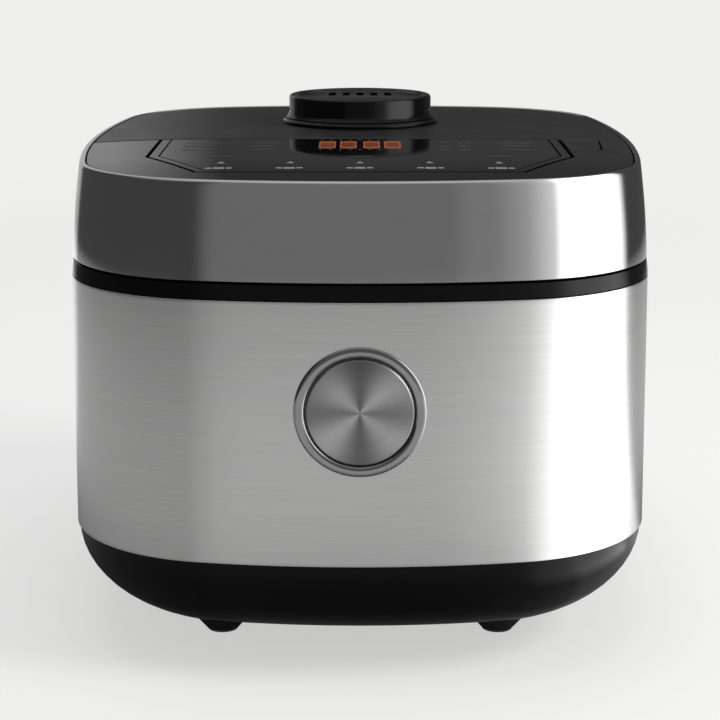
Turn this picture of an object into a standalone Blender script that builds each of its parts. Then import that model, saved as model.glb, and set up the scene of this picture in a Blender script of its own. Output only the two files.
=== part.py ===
"""Rice cooker with a hinged lid, an induction coil and a push-button latch.

Metres, +Z up, +Y to the rear. The origin is on the floor under the middle of the body.
"""
import math

import bmesh
import bpy
from mathutils import Matrix, Vector

# ---------------------------------------------------------------- driving dimensions
GAP = 0.0003                # clearance between pieces that touch or rest on each other

# Plan of the body, taken at the top of the steel sleeve: three tangent arcs a quadrant.
HALF_WIDTH = 0.150
EXTRA_HALF_DEPTH = 0.03375  # how much the half depth is more than the half width
FRONT_RADIUS = 0.397
SIDE_RADIUS = 0.769
CORNER_RADIUS = 0.0815

# Heights, one on top of the other.
FOOT_HEIGHT = 0.0087
BASE_HEIGHT = 0.0502
STEEL_HEIGHT = 0.1269
BAND_HEIGHT = 0.0075
SEAM_GAP = 0.0008           # open seam between the body and the lid
LID_HEIGHT = 0.0466

# Slopes of the outer skins, as insets from the plan.
STEEL_FLARE = 0.00107       # the steel grows this much towards its bottom
BAND_DRAFT = 0.0008
LID_FOOT_INSET = 0.00084
LID_DRAFT = 0.00442
BASE_TUCK = 0.0775          # how far the base bowl runs in underneath

# Walls.
STEEL_WALL = 0.0012
PLASTIC_WALL = 0.0025
RING_WALL = 0.0022
COVER_WALL = 0.0029

# Inner pot and what surrounds it.
POT_RADIUS = 0.1155
POT_WALL = 0.0020
POT_DEPTH = 0.132
POT_FLANGE = 0.0065
POT_CORNER = 0.040
LINER_CLEARANCE = 0.004
LINER_WALL = 0.0025
COIL_INNER_RADIUS = 0.030
COIL_MARGIN = 0.0355        # the coil's outer edge inside the pot's wall
COIL_HEIGHT = 0.0055
HOLDER_WALL = 0.003
HOLDER_MARGIN = 0.016       # the holder's rim outside the coil
HOLDER_RIM_HEIGHT = 0.009
FERRITE_WIDTH = 0.012
FERRITE_HEIGHT = 0.006
FERRITE_COUNT = 4
SENSOR_RADIUS = 0.014
SENSOR_TRAVEL = 0.003

# Fan and electrics.
FAN_SIZE = 0.070
FAN_HEIGHT = 0.013
FAN_BORE_RADIUS = 0.032
FAN_Y = -0.055
FAN_BLADES = 7
BOARD_WALL = 0.0016
BOARD_WIDTH = 0.150
BOARD_HEIGHT = 0.060
SINK_WIDTH = 0.050
SINK_DEPTH = 0.018
SINK_FINS = 7
INLET_WIDTH = 0.030
INLET_HEIGHT = 0.022
INLET_DEPTH = 0.022
INLET_RISE = 0.0225         # inlet's middle above the bottom edge of the steel

# Lid button, latch and striker.
BUTTON_RISE = 0.0755        # button's axis above the bottom edge of the steel
BUTTON_RADIUS = 0.0252
BUTTON_GAP = 0.0010
BUTTON_PROUD = 0.0026
BUTTON_TRAVEL = 0.004
BEZEL_WIDTH = 0.0048
LATCH_ARM = 0.031           # from the button's axis up to the latch pivot
LATCH_WIDTH = 0.012
LATCH_WALL = 0.004
LATCH_PIN_RADIUS = 0.0015

# Hinge at the rear.
HINGE_INSET = 0.00975       # pin's axis inside the rearmost point of the plan
HINGE_RISE = 0.0200         # pin's axis above the bottom edge of the lid
HINGE_PIN_RADIUS = 0.0025
HUMP_RADIUS = 0.012
HUMP_HALF_WIDTH = 0.046
ARM_X = 0.032
ARM_WIDTH = 0.0074
SWING_GAP = 0.001

# Condensate tray at the rear.
TRAY_HALF_WIDTH = 0.0455
TRAY_HEIGHT = 0.048
TRAY_DEPTH = 0.034
TRAY_DROP = 0.0150          # top of the tray below the top edge of the steel

# Top of the lid.
RIM_WIDTH = 0.0030
GROOVE = 0.0006
CROWN = 0.0020
CROWN_REACH = 0.075         # the crown is level further in than this
SEAM_Y = -0.0220            # seam across the lid between the rear and the front covers
SEAM_WIDTH = 0.0008
PANEL_HALF_WIDTH = 0.1060
PANEL_SHOULDER_Y = -0.0965
PANEL_FRONT_HALF_WIDTH = 0.078
PANEL_FRONT_Y = -0.1500
PANEL_BOW = 0.0020
BEZEL_BAR = 0.0060
KEY_TRAVEL = 0.002
KEY_DIVIDER = 0.0247        # divider beside the key, inside the plan's widest point
KEY_LEAN = 0.0025           # how much the divider leans over its length
KEY_ARCH = 0.0370           # top of the key's arched front, forward of the seam
KEY_BOSS_INSET = 0.0210     # the key's stem, inside the plan's widest point
KEY_BOSS_RISE = 0.0122      # the boss's top below the covers

# Steam vent.
STEAM_Y = 0.064
CAP_RADIUS = 0.0403
CAP_FLARE = 0.0017
CAP_HEIGHT = 0.0132
COLLAR_RIM = 0.0037         # how far the collar shows round the cap
COLLAR_HEIGHT = 0.0025
SPIGOT_INSET = 0.0022       # the collar's spigot inside the cap's side
CAP_WALL = 0.0024
CAP_DISH = 0.0022
CUP_RADIUS = 0.022
CUP_WALL = 0.002
VENT_SLOTS = 5
VENT_PITCH = 0.008
VENT_HALF_WIDTH = 0.002
VENT_LENGTH = 0.018

# Underside.
INTAKE_SLOTS = 5
INTAKE_PITCH = 0.011
INTAKE_HALF_WIDTH = 0.0025
INTAKE_HALF_LENGTH = 0.024
OUTLET_SLOTS = 4
OUTLET_PITCH = 0.014
OUTLET_HALF_WIDTH = 0.003
OUTLET_FRONT = 0.045
OUTLET_REAR = 0.080
FOOT_X = 0.0707
FOOT_Y = 0.105
FOOT_TOP_RADIUS = 0.0150
FOOT_TIP_RADIUS = 0.0080
SCREW_X = 0.048
SCREW_Y = 0.078
SCREW_RADIUS = 0.0017
SCREW_HEAD_RADIUS = 0.0036
SCREW_HEAD_HEIGHT = 0.0022
SCREW_LENGTH = 0.011
WIRE_RADIUS = 0.0006        # of every spring but the key's
KEY_WIRE_RADIUS = 0.0005

# ---------------------------------------------------------------- derived places
HALF_DEPTH = HALF_WIDTH + EXTRA_HALF_DEPTH
COLLAR_RADIUS = CAP_RADIUS + COLLAR_RIM
SPIGOT_RADIUS = CAP_RADIUS - SPIGOT_INSET
COIL_OUTER_RADIUS = POT_RADIUS - COIL_MARGIN
FERRITE_LENGTH = COIL_OUTER_RADIUS - COIL_INNER_RADIUS + 0.002
BASE_BOTTOM = FOOT_HEIGHT + GAP
BASE_TOP = BASE_BOTTOM + BASE_HEIGHT
STEEL_BOTTOM = BASE_TOP + GAP
STEEL_TOP = STEEL_BOTTOM + STEEL_HEIGHT
BAND_BOTTOM = STEEL_TOP + GAP
BAND_TOP = BAND_BOTTOM + BAND_HEIGHT
DECK_TOP = BAND_TOP - 0.0042
DECK_WALL = 0.003
LIP_WIDTH = 0.0024
LID_BOTTOM = BAND_TOP + SEAM_GAP
RIM_TOP = LID_BOTTOM + LID_HEIGHT

POT_RIM = DECK_TOP + GAP
POT_BOTTOM = POT_RIM - POT_DEPTH
LINER_RADIUS = POT_RADIUS + LINER_CLEARANCE
LINER_FLOOR = POT_BOTTOM - LINER_CLEARANCE
COIL_TOP = LINER_FLOOR - LINER_WALL - GAP
HOLDER_TOP = COIL_TOP - COIL_HEIGHT - GAP
WELL_FLOOR = HOLDER_TOP - 0.0080
FAN_BOTTOM = BASE_BOTTOM + PLASTIC_WALL + GAP

BUTTON_Z = STEEL_BOTTOM + BUTTON_RISE
BEZEL_INNER_RADIUS = BUTTON_RADIUS + BUTTON_GAP
BEZEL_RADIUS = BEZEL_INNER_RADIUS + BEZEL_WIDTH
BEZEL_TUBE_RADIUS = BEZEL_INNER_RADIUS + 0.0016
BUTTON_DEPTH = 0.0104       # how deep the bezel's tube runs in
LATCH_Z = BUTTON_Z + LATCH_ARM

HINGE_Y = HALF_DEPTH - HINGE_INSET
HINGE_Z = LID_BOTTOM + HINGE_RISE
NOTCH_HALF_WIDTH = HUMP_HALF_WIDTH + 0.0015
NOTCH_FRONT = HINGE_Y - HUMP_RADIUS - SWING_GAP
NOTCH_TOP = HINGE_Z + HUMP_RADIUS + 2 * SWING_GAP

COVER_INSET = LID_FOOT_INSET + LID_DRAFT + RIM_WIDTH + GROOVE
COVER_BOTTOM = RIM_TOP - GAP - COVER_WALL
FRAME_BOTTOM = LID_BOTTOM + 0.0035
FRAME_FLOOR = FRAME_BOTTOM + PLASTIC_WALL
FRAME_TOP = COVER_BOTTOM - GAP
COVER_CREST = RIM_TOP - GAP + CROWN
COLLAR_BOTTOM = COVER_CREST + GAP
CAP_BOTTOM = COLLAR_BOTTOM + COLLAR_HEIGHT + GAP
CAP_TOP = CAP_BOTTOM + CAP_HEIGHT
CONTROL_BOARD_Z = COVER_BOTTOM - 0.0116

TRAY_TOP = STEEL_TOP - TRAY_DROP
TRAY_BOTTOM = TRAY_TOP - TRAY_HEIGHT
TRAY_GAP = 0.001

# Segments: how finely each stretch of the plan and each turned piece is divided.
SIDE_STEPS = 2
CORNER_STEPS = 5
FRONT_STEPS = 3
WIDE_TURN = 32
TURN = 20
SMALL_TURN = 12


# ---------------------------------------------------------------- materials
def make_material(name, colour, roughness, metallic=0.0):
    """A plain Principled material, made once."""
    if name in bpy.data.materials:
        return bpy.data.materials[name]
    mat = bpy.data.materials.new(name)
    mat.use_nodes = True
    shader = mat.node_tree.nodes["Principled BSDF"]
    shader.inputs["Base Color"].default_value = (*colour, 1.0)
    shader.inputs["Roughness"].default_value = roughness
    shader.inputs["Metallic"].default_value = metallic
    mat.diffuse_color = (*colour, 1.0)
    return mat


def brushed_steel():
    return make_material("brushed_steel", (0.46, 0.46, 0.44), 0.32, 1.0)


def polished_steel():
    return make_material("polished_steel", (0.55, 0.55, 0.56), 0.14, 1.0)


def spring_steel():
    return make_material("spring_steel", (0.40, 0.41, 0.43), 0.35, 1.0)


def gloss_black():
    return make_material("gloss_black", (0.010, 0.010, 0.011), 0.12)


def satin_black():
    return make_material("satin_black", (0.022, 0.022, 0.023), 0.40)


def inner_grey():
    return make_material("inner_grey", (0.16, 0.16, 0.17), 0.50)


def window_black():
    return make_material("window_black", (0.008, 0.008, 0.009), 0.06)


def pot_coating():
    return make_material("pot_coating", (0.035, 0.035, 0.038), 0.35, 0.2)


def aluminium():
    return make_material("aluminium", (0.62, 0.63, 0.64), 0.35, 1.0)


def copper():
    return make_material("copper", (0.60, 0.27, 0.12), 0.35, 1.0)


def ferrite():
    return make_material("ferrite", (0.04, 0.04, 0.045), 0.70)


def board_green():
    return make_material("board_green", (0.02, 0.13, 0.06), 0.45)


def rubber():
    return make_material("rubber", (0.020, 0.020, 0.021), 0.75)


def silicone():
    return make_material("silicone", (0.42, 0.42, 0.41), 0.60)


# ---------------------------------------------------------------- modelling helpers
def clear_scene():
    for obj in list(bpy.data.objects):
        bpy.data.objects.remove(obj, do_unlink=True)


def make_pivot(name, place, parent=None):
    """An empty at a joint's axis; a nested one is placed from its parent."""
    pivot = bpy.data.objects.new(name, None)
    bpy.context.scene.collection.objects.link(pivot)
    pivot.empty_display_size = 0.01
    pivot.location = Vector(place)
    if parent is not None:
        pivot.parent = parent
        pivot.location = Vector(place) - pivot_place(parent)
    return pivot


def pivot_place(pivot):
    place = Vector((0.0, 0.0, 0.0))
    while pivot is not None:
        place += pivot.location
        pivot = pivot.parent
    return place


def finish_mesh(name, bm, mat, pivot=None):
    """Turn a bmesh that is drawn in the object's frame into an object on its pivot."""
    bmesh.ops.recalc_face_normals(bm, faces=bm.faces)
    mesh = bpy.data.meshes.new(name)
    bm.to_mesh(mesh)
    bm.free()
    mesh.materials.append(mat)
    mesh.shade_smooth()
    mesh.set_sharp_from_angle(angle=math.radians(35))
    obj = bpy.data.objects.new(name, mesh)
    bpy.context.scene.collection.objects.link(obj)
    if pivot is not None:
        mesh.transform(Matrix.Translation(-pivot_place(pivot)))
        obj.parent = pivot
    return obj


def loft(name, mat, rings, pivot=None, loop=False):
    """Skin through rings of equal length; a loop closes on itself, else both ends are capped."""
    bm = bmesh.new()
    rows = [[bm.verts.new(point) for point in ring] for ring in rings]
    count = len(rows[0])
    pairs = list(zip(rows, rows[1:]))
    if loop:
        pairs.append((rows[-1], rows[0]))
    for low, high in pairs:
        for i in range(count):
            j = (i + 1) % count
            bm.faces.new((low[i], low[j], high[j], high[i]))
    if not loop:
        bm.faces.new(list(reversed(rows[0])))
        bm.faces.new(rows[-1])
    return finish_mesh(name, bm, mat, pivot)


def turned(name, mat, profile, steps, centre=(0.0, 0.0, 0.0), axis="Z", pivot=None):
    """Spin a closed (radius, height) profile about an axis; a profile on the axis makes a solid."""
    cx, cy, cz = centre
    bm = bmesh.new()
    rows = []
    for radius, height in profile:
        ring = []
        for i in range(1 if radius == 0.0 else steps):
            angle = 2 * math.pi * i / steps
            u = radius * math.cos(angle)
            v = radius * math.sin(angle)
            spots = {
                "Z": (cx + u, cy + v, cz + height),
                "Y": (cx + u, cy + height, cz + v),
                "X": (cx + height, cy + u, cz + v),
            }
            ring.append(bm.verts.new(spots[axis]))
        rows.append(ring)
    solid = len(rows[0]) == 1 and len(rows[-1]) == 1
    for low, high in list(zip(rows, rows[1:])) + ([] if solid else [(rows[-1], rows[0])]):
        for i in range(steps):
            j = (i + 1) % steps
            if len(low) == 1:
                bm.faces.new((low[0], high[j], high[i]))
            elif len(high) == 1:
                bm.faces.new((low[i], low[j], high[0]))
            else:
                bm.faces.new((low[i], low[j], high[j], high[i]))
    return finish_mesh(name, bm, mat, pivot)


def prism(name, mat, outline, low, high, axis="Z", pivot=None):
    """Extrude a closed outline along an axis; X takes (y, z) points and Z takes (x, y) points."""
    def spot(point, level):
        if axis == "Z":
            return (point[0], point[1], level)
        return (level, point[0], point[1])
    rings = [[spot(point, level) for point in outline] for level in (low, high)]
    return loft(name, mat, rings, pivot)


def box(name, mat, low, high, pivot=None):
    outline = [(low[0], low[1]), (high[0], low[1]), (high[0], high[1]), (low[0], high[1])]
    return prism(name, mat, outline, low[2], high[2], pivot=pivot)


def combine(target, other, operation="DIFFERENCE", solver="EXACT"):
    """Cut, join or intersect with a helper that is left out of the model."""
    other.hide_render = True
    other.display_type = "WIRE"
    modifier = target.modifiers.new(other.name, "BOOLEAN")
    modifier.operation = operation
    modifier.solver = solver
    modifier.object = other
    return target


def arc(centre, radius, start, end, steps, last=False):
    """Points on an arc, in radians, without its end unless it is the last one."""
    count = steps + 1 if last else steps
    turn = [start + (end - start) * i / steps for i in range(count)]
    return [(centre[0] + radius * math.cos(a), centre[1] + radius * math.sin(a)) for a in turn]


def tube_along(name, mat, path, radius, sides, pivot=None):
    """A wire of round section through a list of points."""
    rings = []
    normal = None
    for i, point in enumerate(path):
        ahead = path[min(i + 1, len(path) - 1)]
        behind = path[max(i - 1, 0)]
        tangent = (Vector(ahead) - Vector(behind)).normalized()
        if normal is None:
            normal = tangent.orthogonal().normalized()
        normal = (normal - tangent * normal.dot(tangent)).normalized()
        side = tangent.cross(normal)
        ring = []
        for k in range(sides):
            angle = 2 * math.pi * k / sides
            ring.append(Vector(point) + radius * (math.cos(angle) * normal + math.sin(angle) * side))
        rings.append(ring)
    return loft(name, mat, rings, pivot)


def helix(centre, axis, radius, low, high, turns, steps):
    """Points of a coil about an axis through a centre."""
    points = []
    total = int(turns * steps)
    for i in range(total + 1):
        angle = 2 * math.pi * i / steps
        along = low + (high - low) * i / total
        u = radius * math.cos(angle)
        v = radius * math.sin(angle)
        spots = {
            "Z": (centre[0] + u, centre[1] + v, along),
            "Y": (centre[0] + u, along, centre[2] + v),
            "X": (along, centre[1] + u, centre[2] + v),
        }
        points.append(spots[axis])
    return points


# ---------------------------------------------------------------- plan of the body
def corner_centre():
    """Where the corner arc's centre lies, tangent inside to the front arc and the side arc."""
    front = Vector((0.0, HALF_DEPTH - FRONT_RADIUS))
    side = Vector((HALF_WIDTH - SIDE_RADIUS, 0.0))
    to_front = FRONT_RADIUS - CORNER_RADIUS
    to_side = SIDE_RADIUS - CORNER_RADIUS
    line = side - front
    reach = line.length
    along = (to_front ** 2 - to_side ** 2 + reach ** 2) / (2 * reach)
    away = math.sqrt(to_front ** 2 - along ** 2)
    unit = line / reach
    choices = [front + along * unit + s * away * Vector((-unit.y, unit.x)) for s in (1, -1)]
    return max(choices, key=lambda point: point.x + point.y)


def plan_outline(inset):
    """The body's plan, moved in by an inset, counter-clockwise from +X."""
    front = Vector((0.0, HALF_DEPTH - FRONT_RADIUS))
    side = Vector((HALF_WIDTH - SIDE_RADIUS, 0.0))
    corner = corner_centre()
    first = math.atan2(corner.y - side.y, corner.x - side.x)
    second = math.atan2(corner.y - front.y, corner.x - front.x)
    quadrant = arc(side, SIDE_RADIUS - inset, 0.0, first, SIDE_STEPS)
    quadrant += arc(corner, CORNER_RADIUS - inset, first, second, CORNER_STEPS)
    quadrant += arc(front, FRONT_RADIUS - inset, second, math.pi / 2, FRONT_STEPS, last=True)
    outline = list(quadrant)
    outline += [(-x, y) for x, y in reversed(quadrant[:-1])]
    outline += [(-x, -y) for x, y in quadrant[1:]]
    outline += [(x, -y) for x, y in reversed(quadrant[1:-1])]
    return outline


def plan_ring(inset, height):
    return [(x, y, height) for x, y in plan_outline(inset)]


def round_ring(radius, height):
    """A circle with one point for each point of the plan, at the same bearing."""
    ring = []
    for x, y in plan_outline(0.0):
        angle = math.atan2(y, x)
        ring.append((radius * math.cos(angle), radius * math.sin(angle), height))
    return ring


def steel_inset(height):
    """The sleeve's outer inset at a height: nothing at its top, flared at its bottom."""
    return -STEEL_FLARE * (STEEL_TOP - height) / STEEL_HEIGHT


def front_reach(x, height, extra=0.0):
    """How far out the sleeve's front, or its rear, lies from the middle at an x."""
    radius = FRONT_RADIUS - steel_inset(height) + extra
    return HALF_DEPTH - FRONT_RADIUS + math.sqrt(radius ** 2 - x ** 2)


def lid_inset(height):
    """The lid ring's outer inset at a height: a slope that bends in towards its top."""
    share = (height - LID_BOTTOM) / LID_HEIGHT
    return LID_FOOT_INSET + LID_DRAFT * share ** 1.5


# ---------------------------------------------------------------- base and feet
def make_base_shell():
    """The bowl under the body: a quarter ellipse in section, open at its top."""
    steps = 5
    outer = []
    inner = []
    for i in range(steps + 1):
        angle = math.pi / 2 * i / steps
        across = math.cos(angle)
        down = math.sin(angle)
        outer.append(plan_ring(BASE_TUCK * (1 - across), BASE_TOP - BASE_HEIGHT * down))
        inner.append(plan_ring(BASE_TUCK - (BASE_TUCK - PLASTIC_WALL) * across,
                               BASE_TOP - (BASE_HEIGHT - PLASTIC_WALL) * down))
    shell = loft("base_shell", gloss_black(), list(reversed(outer)) + inner)
    floor = (BASE_BOTTOM - 0.002, BASE_BOTTOM + PLASTIC_WALL + 0.002)
    for i in range(INTAKE_SLOTS):
        x = INTAKE_PITCH * (i - (INTAKE_SLOTS - 1) / 2)
        slot = box(f"intake_cut_{i + 1}", gloss_black(),
                   (x - INTAKE_HALF_WIDTH, FAN_Y - INTAKE_HALF_LENGTH, floor[0]),
                   (x + INTAKE_HALF_WIDTH, FAN_Y + INTAKE_HALF_LENGTH, floor[1]))
        combine(shell, slot)
    for i in range(OUTLET_SLOTS):
        x = OUTLET_PITCH * (i - (OUTLET_SLOTS - 1) / 2)
        slot = box(f"outlet_cut_{i + 1}", gloss_black(), (x - OUTLET_HALF_WIDTH, OUTLET_FRONT, floor[0]),
                   (x + OUTLET_HALF_WIDTH, OUTLET_REAR, floor[1]))
        combine(shell, slot)
    for name, x, y in screw_places():
        hole = turned(f"hole_for_{name}", gloss_black(), disc_profile(SCREW_RADIUS + GAP, *floor),
                      12, (x, y, 0.0))
        combine(shell, hole)
    return shell


def disc_profile(radius, low, high):
    return [(0.0, low), (radius, low), (radius, high), (0.0, high)]


def corner_places(x, y):
    return [("front_left", -x, -y), ("front_right", x, -y), ("rear_left", -x, y), ("rear_right", x, y)]


def screw_places():
    return [(f"base_screw_{where}", x, y) for where, x, y in corner_places(SCREW_X, SCREW_Y)]


def make_feet():
    profile = [(0.0, 0.0), (FOOT_TIP_RADIUS - 0.001, 0.0), (FOOT_TIP_RADIUS, 0.0006),
               (FOOT_TIP_RADIUS + 0.0016, 0.0025), (FOOT_TOP_RADIUS - 0.0008, FOOT_HEIGHT - 0.0009),
               (FOOT_TOP_RADIUS, FOOT_HEIGHT), (0.0, FOOT_HEIGHT)]
    for where, x, y in corner_places(FOOT_X, FOOT_Y):
        turned(f"foot_{where}", rubber(), profile, SMALL_TURN, (x, y, 0.0))


def make_screws():
    head = SCREW_HEAD_RADIUS
    head_high = BASE_BOTTOM - GAP
    head_low = head_high - SCREW_HEAD_HEIGHT
    tip = BASE_BOTTOM + SCREW_LENGTH
    profile = [(0.0, head_low), (head - 0.0005, head_low), (head, head_low + 0.0006), (head, head_high),
               (SCREW_RADIUS, head_high), (SCREW_RADIUS, tip), (0.0, tip + 0.001)]
    for name, x, y in screw_places():
        turned(name, spring_steel(), profile, 10, (x, y, 0.0))


# ---------------------------------------------------------------- sleeve and collar
def make_body_wrap():
    """The steel sleeve, with a round hole for the button and two openings at the rear."""
    middle = (STEEL_BOTTOM + STEEL_TOP) / 2
    levels = (STEEL_BOTTOM, middle, STEEL_TOP)
    rings = [plan_ring(steel_inset(z), z) for z in levels]
    rings += [plan_ring(steel_inset(z) + STEEL_WALL, z) for z in reversed(levels)]
    sleeve = loft("body_wrap", brushed_steel(), rings, loop=True)
    hole = turned("button_hole_cut", brushed_steel(),
                  disc_profile(BEZEL_TUBE_RADIUS + GAP, -HALF_DEPTH - 0.01, -HALF_DEPTH + 0.02),
                  WIDE_TURN, (0.0, 0.0, BUTTON_Z), axis="Y")
    combine(sleeve, hole)
    tray = box("tray_hole_cut", brushed_steel(),
               (-TRAY_HALF_WIDTH - TRAY_GAP, HALF_DEPTH - 0.02, TRAY_BOTTOM - TRAY_GAP),
               (TRAY_HALF_WIDTH + TRAY_GAP, HALF_DEPTH + 0.02, TRAY_TOP + TRAY_GAP))
    combine(sleeve, tray)
    half = INLET_WIDTH / 2 + GAP
    inlet_z = STEEL_BOTTOM + INLET_RISE
    inlet = box("inlet_hole_cut", brushed_steel(),
                (-half, HALF_DEPTH - 0.02, inlet_z - INLET_HEIGHT / 2 - GAP),
                (half, HALF_DEPTH + 0.02, inlet_z + INLET_HEIGHT / 2 + GAP))
    combine(sleeve, inlet)
    return sleeve


def make_top_collar():
    """The black band between steel and lid, its lip, and the deck that carries the pot."""
    skirt = STEEL_WALL + 0.0004
    deck_bottom = DECK_TOP - DECK_WALL
    rings = [
        plan_ring(skirt, STEEL_TOP - 0.010),
        plan_ring(skirt, BAND_BOTTOM),
        plan_ring(0.0, BAND_BOTTOM),
        plan_ring(BAND_DRAFT, BAND_TOP),
        plan_ring(BAND_DRAFT + LIP_WIDTH, BAND_TOP),
        plan_ring(BAND_DRAFT + LIP_WIDTH, DECK_TOP),
        round_ring(POT_RADIUS + 0.003, DECK_TOP),
        round_ring(POT_RADIUS + 0.003, deck_bottom),
        plan_ring(skirt + 0.002, deck_bottom),
        plan_ring(skirt + 0.002, STEEL_TOP - 0.010),
    ]
    collar = loft("top_collar", satin_black(), rings, loop=True)
    seat = box("hinge_seat_cut", satin_black(),
               (-HUMP_HALF_WIDTH - 2 * GAP, HALF_DEPTH - 0.012, DECK_TOP - 0.0004),
               (HUMP_HALF_WIDTH + 2 * GAP, HALF_DEPTH + 0.01, BAND_TOP + 0.01))
    combine(collar, seat)
    slot_front = latch_y() - LATCH_WALL - 0.0095
    slot = box("latch_slot_cut", satin_black(), (-LATCH_WIDTH / 2 - 0.002, slot_front, deck_bottom - 0.001),
               (LATCH_WIDTH / 2 + 0.002, latch_y() + 0.0085, DECK_TOP + 0.001))
    combine(collar, slot)
    return collar


# ---------------------------------------------------------------- pot, liner and heating
def pot_section(radius, floor, corner, rim, steps=4):
    """The outer side of a pot: a flat floor, a round corner and a straight wall."""
    points = [(0.0, floor)]
    for i in range(steps + 1):
        angle = math.pi / 2 * i / steps
        across = radius - corner + corner * math.sin(angle)
        points.append((across, floor + corner * (1 - math.cos(angle))))
    points.append((radius, rim))
    return points


def make_inner_pot():
    outer = pot_section(POT_RADIUS, POT_BOTTOM, POT_CORNER, POT_RIM)
    flange_top = POT_RIM + POT_WALL
    flange = [(POT_RADIUS + POT_FLANGE, POT_RIM), (POT_RADIUS + POT_FLANGE, flange_top - 0.0005),
              (POT_RADIUS + POT_FLANGE - 0.0008, flange_top)]
    inner = pot_section(POT_RADIUS - POT_WALL, POT_BOTTOM + POT_WALL, POT_CORNER - POT_WALL,
                        flange_top - 0.001)
    lip = [(POT_RADIUS - POT_WALL + 0.0008, flange_top)]
    profile = outer + flange + lip + list(reversed(inner))
    return turned("inner_pot", pot_coating(), profile, WIDE_TURN)


def make_chamber_liner():
    """The heat-proof bowl round the pot, hung from the deck, with a hole for the sensor."""
    top = DECK_TOP - DECK_WALL - GAP
    hole = SENSOR_RADIUS + 0.0025
    inner = pot_section(LINER_RADIUS, LINER_FLOOR, POT_CORNER + LINER_CLEARANCE, top)[1:]
    outer = pot_section(LINER_RADIUS + LINER_WALL, LINER_FLOOR - LINER_WALL,
                        POT_CORNER + LINER_CLEARANCE + LINER_WALL, top - 0.002)[1:]
    flange = [(LINER_RADIUS + 0.010, top), (LINER_RADIUS + 0.010, top - 0.002)]
    profile = [(hole, LINER_FLOOR)] + inner + flange + list(reversed(outer))
    profile.append((hole, LINER_FLOOR - LINER_WALL))
    return turned("chamber_liner", inner_grey(), profile, WIDE_TURN)


def make_induction_coil():
    """Flat winding under the liner, its turns showing as ridges underneath."""
    ridges = 5
    pitch = (COIL_OUTER_RADIUS - COIL_INNER_RADIUS) / ridges
    low = COIL_TOP - COIL_HEIGHT
    profile = [(COIL_INNER_RADIUS, COIL_TOP), (COIL_OUTER_RADIUS, COIL_TOP)]
    for i in range(ridges):
        start = COIL_OUTER_RADIUS - i * pitch
        profile.append((start, low + 0.0015))
        profile.append((start - pitch / 2, low))
    profile.append((COIL_INNER_RADIUS, low + 0.0015))
    return turned("induction_coil", copper(), profile, TURN)


def make_coil_holder():
    """Dish under the coil, with a well at its middle for the sensor's spring."""
    rim = COIL_OUTER_RADIUS + HOLDER_MARGIN
    rim_top = HOLDER_TOP + HOLDER_RIM_HEIGHT
    well = SENSOR_RADIUS + 0.0025
    floor = HOLDER_TOP - HOLDER_WALL
    profile = [
        (0.0036, WELL_FLOOR), (well, WELL_FLOOR), (well, HOLDER_TOP), (rim - HOLDER_WALL, HOLDER_TOP),
        (rim - HOLDER_WALL, rim_top), (rim, rim_top), (rim, floor),
        (well + 0.0025, floor), (well + 0.0025, WELL_FLOOR - 0.0025), (0.0036, WELL_FLOOR - 0.0025),
    ]
    return turned("coil_holder", inner_grey(), profile, TURN)


def make_ferrite_bars():
    top = HOLDER_TOP - HOLDER_WALL - GAP
    start = COIL_INNER_RADIUS + 0.005
    half = FERRITE_WIDTH / 2
    for i in range(FERRITE_COUNT):
        bar = box(f"ferrite_bar_{i + 1}", ferrite(), (start, -half, -FERRITE_HEIGHT),
                  (start + FERRITE_LENGTH, half, 0.0))
        bar.location.z = top
        bar.rotation_euler.z = math.pi / 4 + 2 * math.pi * i / FERRITE_COUNT


def make_pot_sensor(pivot):
    """Sprung cap that presses on the middle of the pot's bottom."""
    top = POT_BOTTOM - GAP
    skirt = top - 0.009
    profile = [
        (0.0, top), (SENSOR_RADIUS - 0.001, top), (SENSOR_RADIUS, top - 0.001), (SENSOR_RADIUS, skirt),
        (SENSOR_RADIUS - 0.0015, skirt), (SENSOR_RADIUS - 0.0015, top - 0.0025), (0.003, top - 0.0025),
        (0.003, WELL_FLOOR - 0.004), (0.0, WELL_FLOOR - 0.004),
    ]
    turned("pot_sensor", aluminium(), profile, TURN, pivot=pivot)
    clear = GAP + WIRE_RADIUS
    path = helix((0.0, 0.0, 0.0), "Z", 0.0085, WELL_FLOOR + clear, top - 0.0025 - clear, 4, 10)
    tube_along("sensor_spring", spring_steel(), path, WIRE_RADIUS, 5)


# ---------------------------------------------------------------- fan and electrics
def spoked_outline(hub, tip, root_width, tip_width, count, turn=0.0, arc_steps=2):
    """Outline of a hub with straight spokes, counter-clockwise."""
    points = []
    for i in range(count):
        middle = turn + 2 * math.pi * i / count
        following = turn + 2 * math.pi * (i + 1) / count
        for radius, width, side in ((hub, root_width, -1), (tip, tip_width, -1),
                                    (tip, tip_width, 1), (hub, root_width, 1)):
            angle = middle + side * math.asin(width / 2 / radius)
            points.append((radius * math.cos(angle), radius * math.sin(angle)))
        start = middle + math.asin(root_width / 2 / hub)
        end = following - math.asin(root_width / 2 / hub)
        points += arc((0.0, 0.0), hub, start, end, arc_steps + 1)[1:]
    return points


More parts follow.
